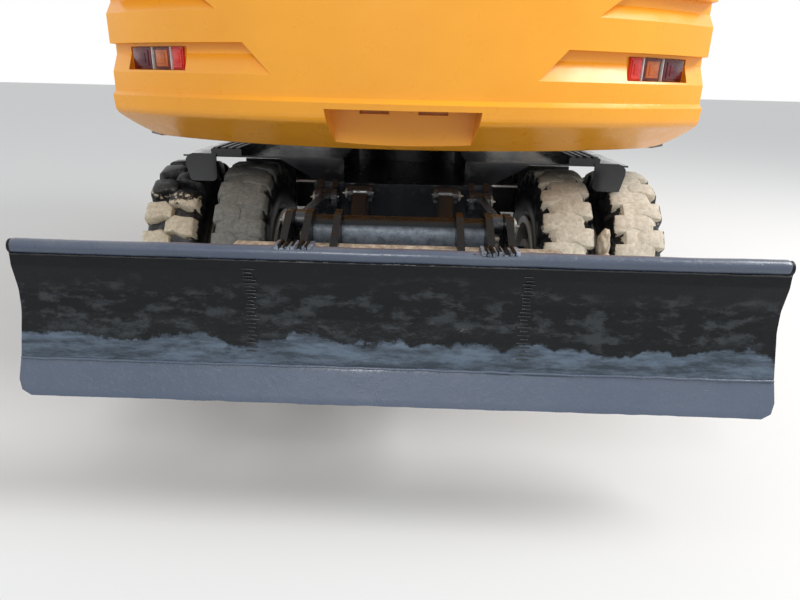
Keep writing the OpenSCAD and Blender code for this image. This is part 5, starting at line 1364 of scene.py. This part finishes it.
# Side doors: a screen of rods, leaning louvre blades and two latches each
sideDoorSettings = {
    "out": 1.244,
    "rods": [((1.2235, -1.325 + 0.037 * i, 1.59), (1.2235, -1.325 + 0.037 * i, 2.035), 0.0018, 0.0, 6)
             for i in range(12)],
    "louvre": ((-0.01, -1.318, -0.001), (0.01, -0.922, 0.003), 0.001),
    "louvreOut": 1.2325,
    "louvresAt": [1.602 + 0.05 * i for i in range(9)],
    "lean": 0.45,
    "latches": [(-0.56, 1.45), (-0.56, 2.05)],
    # about a latch's place on the door: its cup, its lever and its lock
    "cup": [((-0.001, -0.03, -0.055), (0.004, 0.03, 0.055), 0.0018),
            ((0.003, -0.02, -0.04), (0.011, 0.02, 0.025), 0.003)],
    "lock": [((0.003, 0, 0.042), (0.008, 0, 0.042), 0.008, 0.001, 16)],
}


def buildSideDoor(s, side, body):
    bm = bmesh.new()
    addBars(bm, s["rods"], side=side)
    finishPiece(body + "_screen", bm, "black", body)
    bm = bmesh.new()
    for z in s["louvresAt"]:
        turnCorners(bm, addBlock(bm, *s["louvre"]), side * s["lean"], "Y", (side * s["louvreOut"], 0, z))
    finishPiece(body + "_louvres", bm, "paint", body)
    bm = bmesh.new()
    for y, z in s["latches"]:
        at = (side * s["out"], y, z)
        addBlocks(bm, s["cup"], at, side)
        addBars(bm, s["lock"], at, side)
    finishPiece(body + "_latches", bm, "plastic", body)


# Engine hood: a screen of rods, two handles and two hinge barrels
hoodSettings = {
    "rods": [((-0.39 + 0.03 * i, -1.33, 2.262), (-0.39 + 0.03 * i, -0.98, 2.262), 0.0016, 0.0, 6)
             for i in range(27)],
    "handlesAt": (-0.5, 0.5),
    "handle": [(-0.07, -1.4505, 2.255), (-0.07, -1.475, 2.255), (0.07, -1.475, 2.255),
               (0.07, -1.4505, 2.255)],
    "barrels": [((x - 0.05, -0.505, 2.29), (x + 0.05, -0.505, 2.29), 0.012, 0.002, 20)
                for x in (-0.45, 0.45)],
}


def buildHoodTrim(s):
    bm = bmesh.new()
    addBars(bm, s["rods"])
    finishPiece("hood_screen", bm, "black", "engine_hood")
    bm = bmesh.new()
    for x in s["handlesAt"]:
        addRoute(bm, [(x + a, b, c) for a, b, c in s["handle"]], 0.015, 0.007, 10, 5)
    addBars(bm, s["barrels"])
    finishPiece("hood_handles", bm, "plastic", "engine_hood")


# Exhaust: foot collar, clamp and rolled mouth, as (height, radius) from its foot
exhaustSettings = {
    "foot": (0.93, -1.1, 2.2605),
    "collars": [[(0.0, 0.0505), (0.0, 0.075), (0.006, 0.078), (0.012, 0.056), (0.03, 0.0505)],
                [(0.1, 0.0505), (0.1, 0.055), (0.118, 0.055), (0.118, 0.0505)],
                [(0.286, 0.0505), (0.29, 0.0535), (0.3, 0.0535), (0.302, 0.0495), (0.299, 0.0425)]],
    "clampBolt": ((0.93, -1.158, 2.369), (1, 0, 0), 0.006),
}


def buildExhaustTrim(s):
    bm = bmesh.new()
    for rows in s["collars"]:
        addLathe(bm, rows, s["foot"], (0, 0, 1), 48)
    addBolt(bm, *s["clampBolt"])
    finishPiece("exhaust_collars", bm, "pipe", "upper")


buildSideDoor(sideDoorSettings, -1, "side_door_left")
buildSideDoor(sideDoorSettings, 1, "side_door_right")
buildHoodTrim(hoodSettings)
buildExhaustTrim(exhaustSettings)
print("house done")


# Seat: padded cushion and back with sewn channels, on rubber bellows. Places are from its foot.
seatSettings = {
    "foot": (-0.8, 0, 1.2853),
    "voxel": 0.006,
    "pressure": 4.0,
    "frames": 20,
    "cap": 0.014,  # the furthest that the cloth may swell
    "fill": 0.85,
    "cushion": ((-0.222, -0.075, 0.275), (0.222, 0.395, 0.385), 0.03, 3),
    # rows of the back: (along Y, up), round from its foot behind
    "back": [(-0.05, 0.395), (-0.185, 0.985), (-0.1, 1.005), (0.055, 0.405)],
    "halfBack": 0.205,
    "edge": 0.03,
    "cushionAcross": (-0.15, 0.15),
    "cushionAlong": (0.06, 0.18, 0.3),
    "backUp": (0.12, 0.24, 0.36, 0.48),
    "backAcross": (-0.13, 0.13),
    "channel": (0.012, 0.006),  # half width and depth
    # base plate, top plate and slides
    "plates": [((-0.185, -0.055, 0.0005), (0.185, 0.295, 0.03), 0.006),
               ((-0.185, -0.055, 0.236), (0.185, 0.295, 0.262), 0.006)]
    + [((x - 0.012, -0.06, 0.26), (x + 0.012, 0.38, 0.28), 0.003) for x in (-0.15, 0.15)],
    "folds": [((-0.165, -0.035, 0.032 + 0.034 * i), (0.165, 0.275, 0.062 + 0.034 * i), 0.0145, 4)
              for i in range(6)],
}


def puff(source, s):
    # Swells a closed shape as cloth under pressure, with no gravity
    remesh = source.modifiers.new("voxels", "REMESH")
    remesh.mode = "VOXEL"
    remesh.voxel_size = s["voxel"]
    depsgraph = bpy.context.evaluated_depsgraph_get()
    mesh = bpy.data.meshes.new_from_object(source.evaluated_get(depsgraph))
    before = [v.co.copy() for v in mesh.vertices]
    soft = bpy.data.objects.new("softShape", mesh)
    bpy.context.collection.objects.link(soft)
    cloth = soft.modifiers.new("cloth", "CLOTH")
    cloth.settings.use_pressure = True
    cloth.settings.uniform_pressure_force = s["pressure"]
    cloth.settings.effector_weights.gravity = 0
    cloth.settings.quality = 4
    cloth.point_cache.frame_start = 1
    cloth.point_cache.frame_end = s["frames"]
    for step in range(1, s["frames"] + 1):
        bpy.context.scene.frame_set(step)
    depsgraph = bpy.context.evaluated_depsgraph_get()
    swollen = bpy.data.meshes.new_from_object(soft.evaluated_get(depsgraph))
    for v, was in zip(swollen.vertices, before):
        move = v.co - was
        if move.length > s["cap"]:
            v.co = was + move.normalized() * s["cap"]
    bpy.data.objects.remove(soft)
    return swollen


def sewChannels(bm, channels, width, depth):
    # Presses straight channels into the cloth: each is (a point in it, way across it, way inward)
    for v in bm.verts:
        for centre, across, inward in channels:
            gap = abs((v.co - centre).dot(across))
            if gap < width and v.normal.dot(inward) < -0.3:
                v.co += inward * depth * (1 - (gap / width) ** 2)


def buildSeatPart(s, name, shape, channels, stands=()):
    source = addObject("seatSource", shape)
    mesh = puff(source, s)
    bpy.data.objects.remove(source)
    bm = bmesh.new()
    bm.from_mesh(mesh)
    bmesh.ops.smooth_vert(bm, verts=bm.verts, factor=0.5, use_axis_x=True, use_axis_y=True, use_axis_z=True)
    bm.normal_update()
    sewChannels(bm, channels, *s["channel"])
    piece = finishPiece(name, bm, "cloth", "upper", 180, stands)
    level = piece.modifiers.new("rounder", "SUBSURF")
    level.levels = 1
    level.render_levels = 1


def buildSeat(s):
    foot = Vector(s["foot"])
    xWay, yWay, down = Vector((1, 0, 0)), Vector((0, 1, 0)), Vector((0, 0, -1))
    bm = bmesh.new()
    addBlocks(bm, [s["cushion"]], s["foot"])
    channels = [(foot + xWay * d, xWay, down) for d in s["cushionAcross"]]
    channels += [(foot + yWay * d, yWay, down) for d in s["cushionAlong"]]
    buildSeatPart(s, "seat_cushion", bm, channels, ("cab_seat",))
    bm = bmesh.new()
    outline = [fromPlace(s["foot"], (-s["halfBack"], a, b)) for a, b in s["back"]]
    addPlate(bm, outline, (2 * s["halfBack"], 0, 0), s["edge"], 3)
    head, frontFoot = outline[2:]
    lean = (head - frontFoot).normalized()
    inward = Vector((0, -lean.z, lean.y))
    channels = [(frontFoot + lean * d, lean, inward) for d in s["backUp"]]
    channels += [(foot + xWay * d, xWay, inward) for d in s["backAcross"]]
    buildSeatPart(s, "seat_back", bm, channels)
    bm = bmesh.new()
    addBlocks(bm, s["plates"] + s["folds"], foot)
    finishPiece("seat_bellows", bm, "rubber", "upper")


buildSeat(seatSettings)
print("seat done")


# Buttons on the steps, the guards and the tank, and doors of the boxes
stepSettings = {
    "button": (0.0035, 0.009, 0.005),  # height, radius at its foot and at its top
    # level plates on both sides of the chassis: low corner, high corner, pitch of the buttons
    "boards": [((0.72, -0.08, 0.465), (1.165, 0.42), 0.035), ((0.72, -0.08, 0.775), (1.165, 0.42), 0.035),
               ((0.75, -0.5, 0.99), (0.985, 0.68), 0.045)],
    "tankPlates": [((0.43, 0.65, 1.75), (1.215, 0.89), 0.04), ((0.43, 0.91, 1.5), (1.215, 1.14), 0.04),
                   ((0.37, -0.45, 2.15), (1.215, 0.58), 0.04)],
    "boxDoors": [((1.009, y0, 0.6), (1.0135, y1, 0.95), 0.0018) for y0, y1 in ((-0.5, -0.12), (0.46, 0.69))],
    "boxLocks": [((1.013, y, 0.9), (1.019, y, 0.9), 0.013, 0.002, 24) for y in (-0.31, 0.575)],
}


def addTreadPlate(bm, low, high, pitch, button, side=1):
    # Rows of raised buttons on a level plate
    tall, radius, topRadius = button
    across = max(int((high[0] - low[0]) / pitch), 1)
    along = max(int((high[1] - low[1]) / pitch), 1)
    for i in range(across):
        for j in range(along):
            x = side * (low[0] + (i + 0.5) * (high[0] - low[0]) / across)
            y = low[1] + (j + 0.5) * (high[1] - low[1]) / along
            addBar(bm, (x, y, low[2] - 0.0005), (x, y, low[2] + tall), radius, 0.0, 10, topRadius)


def buildStepTrim(s):
    bm = bmesh.new()
    for side in (-1, 1):
        for low, high, pitch in s["boards"]:
            addTreadPlate(bm, low, high, pitch, s["button"], side)
    finishPiece("step_treads", bm, "black", "chassis")
    bm = bmesh.new()
    for side in (-1, 1):
        addBlocks(bm, s["boxDoors"], side=side)
        addBars(bm, s["boxLocks"], side=side)
    finishPiece("box_doors", bm, "black", "chassis")
    bm = bmesh.new()
    for low, high, pitch in s["tankPlates"]:
        addTreadPlate(bm, low, high, pitch, s["button"])
    finishPiece("tank_treads", bm, "black", "upper")


# Feet of the handrails with three bolts each, and the tank's filler cap
railSettings = {
    "feetAt": [(0.45, 0.64, 1.75), (1.185, 0.64, 1.75), (0.45, 0.0, 2.15), (1.185, 0.0, 2.15)],
    "foot": ((0, 0, -0.001), (0, 0, 0.008), 0.034, 0.002),
    "bolts": (3, 0.025, 0.0075, 0.0045),  # how many, radius of their ring, height, size
    "capMiddle": (0.62, -0.3),
    "capFoot": 2.1495,
    "cap": [(0.0, 0.0), (0.0, 0.055), (0.018, 0.055), (0.03, 0.046), (0.03, 0.0)],
    "grips": 12,
    # a grip of the cap: height and radius of its ring, at its foot and its head
    "grip": [(2.152, 0.052), (2.17, 0.05)],
    "gripRadius": 0.006,
}


def buildRailFeet(s):
    bm = bmesh.new()
    count, ring, tall, size = s["bolts"]
    for at in s["feetAt"]:
        addBars(bm, [s["foot"]], at)
        for i in range(count):
            addBolt(bm, (*ringPoint(at[:2], ring, i, count, 0.25), at[2] + tall), (0, 0, 1), size)
    finishPiece("rail_feet", bm, "plastic", "upper")


def buildTankCap(s):
    bm = bmesh.new()
    addLathe(bm, s["cap"], (*s["capMiddle"], s["capFoot"]), (0, 0, 1), 48)
    for i in range(s["grips"]):
        low, high = ((*ringPoint(s["capMiddle"], ring, i, s["grips"]), z) for z, ring in s["grip"])
        addBar(bm, low, high, s["gripRadius"], 0.0, 8)
    finishPiece("tank_cap", bm, "plastic", "upper")


buildStepTrim(stepSettings)
buildRailFeet(railSettings)
buildTankCap(railSettings)
print("steps and tank done")


# Bucket, in its own frame: tooth caps with their pins, side cutters and wear strips
bucketSettings = {
    "teeth": [-0.39 + 0.195 * i for i in range(5)],
    "cap": [(1.1, 0.1035), (1.1, 0.0265), (1.19, 0.0115), (1.205, 0.012), (1.205, 0.0535), (1.19, 0.06)],
    "capHalf": 0.039,
    "capEdge": 0.004,
    "pinAt": (1.152, 0.05),
    "pin": ((-0.0425, 0, 0), (0.0425, 0, 0), 0.009, 0.0015, 16),
    "cutter": [(1.175, 0.05), (1.19, 0.075), (0.93, 0.36), (0.86, 0.39), (0.85, 0.33), (1.09, 0.07)],
    "cutterFrom": 0.4505,
    "cutterThick": 0.0035,
    "cutterBolts": [(0.92, 0.31), (1.01, 0.21), (1.1, 0.11)],
    "boltFrom": 0.4538,
    "boltSize": 0.011,
    "bowlMiddle": (0.56, 0.42),
    "stripRadius": 0.361,
    "stripsAt": (-0.26, 0.26),
    "stripPart": ((-0.045, -0.03, -0.006), (0.045, 0.03, 0.006), 0.003),
    "stripTurns": range(80, 181, 10),
}


def buildBucket(s):
    caps = bmesh.new()
    pins = bmesh.new()
    for x in s["teeth"]:
        outline = [inFrame("bucket", x - s["capHalf"], a, b) for a, b in s["cap"]]
        addPlate(caps, outline, (2 * s["capHalf"], 0, 0), s["capEdge"])
        addBars(pins, [s["pin"]], inFrame("bucket", x, *s["pinAt"]))
    for side in (-1, 1):
        outline = [inFrame("bucket", side * s["cutterFrom"], a, b) for a, b in s["cutter"]]
        addPlate(caps, outline, (side * s["cutterThick"], 0, 0), 0.001)
        for a, b in s["cutterBolts"]:
            addBolt(pins, inFrame("bucket", side * s["boltFrom"], a, b), (side, 0, 0), s["boltSize"])
    finishPiece("bucket_tooth_caps", caps, "bucket", "bucket")
    finishPiece("bucket_tooth_pins", pins, "bolt", "bucket")
    bm = bmesh.new()
    for x in s["stripsAt"]:
        for angle in s["stripTurns"]:
            along, up = ringPoint(s["bowlMiddle"], s["stripRadius"], angle, 360)
            square = math.radians(angle + linkFrames["bucket"][1] - 90)
            turnCorners(bm, addBlock(bm, *s["stripPart"]), square, "X", inFrame("bucket", x, along, up))
    finishPiece("bucket_wear_strips", bm, "bucket", "bucket")


buildBucket(bucketSettings)
print("bucket done")
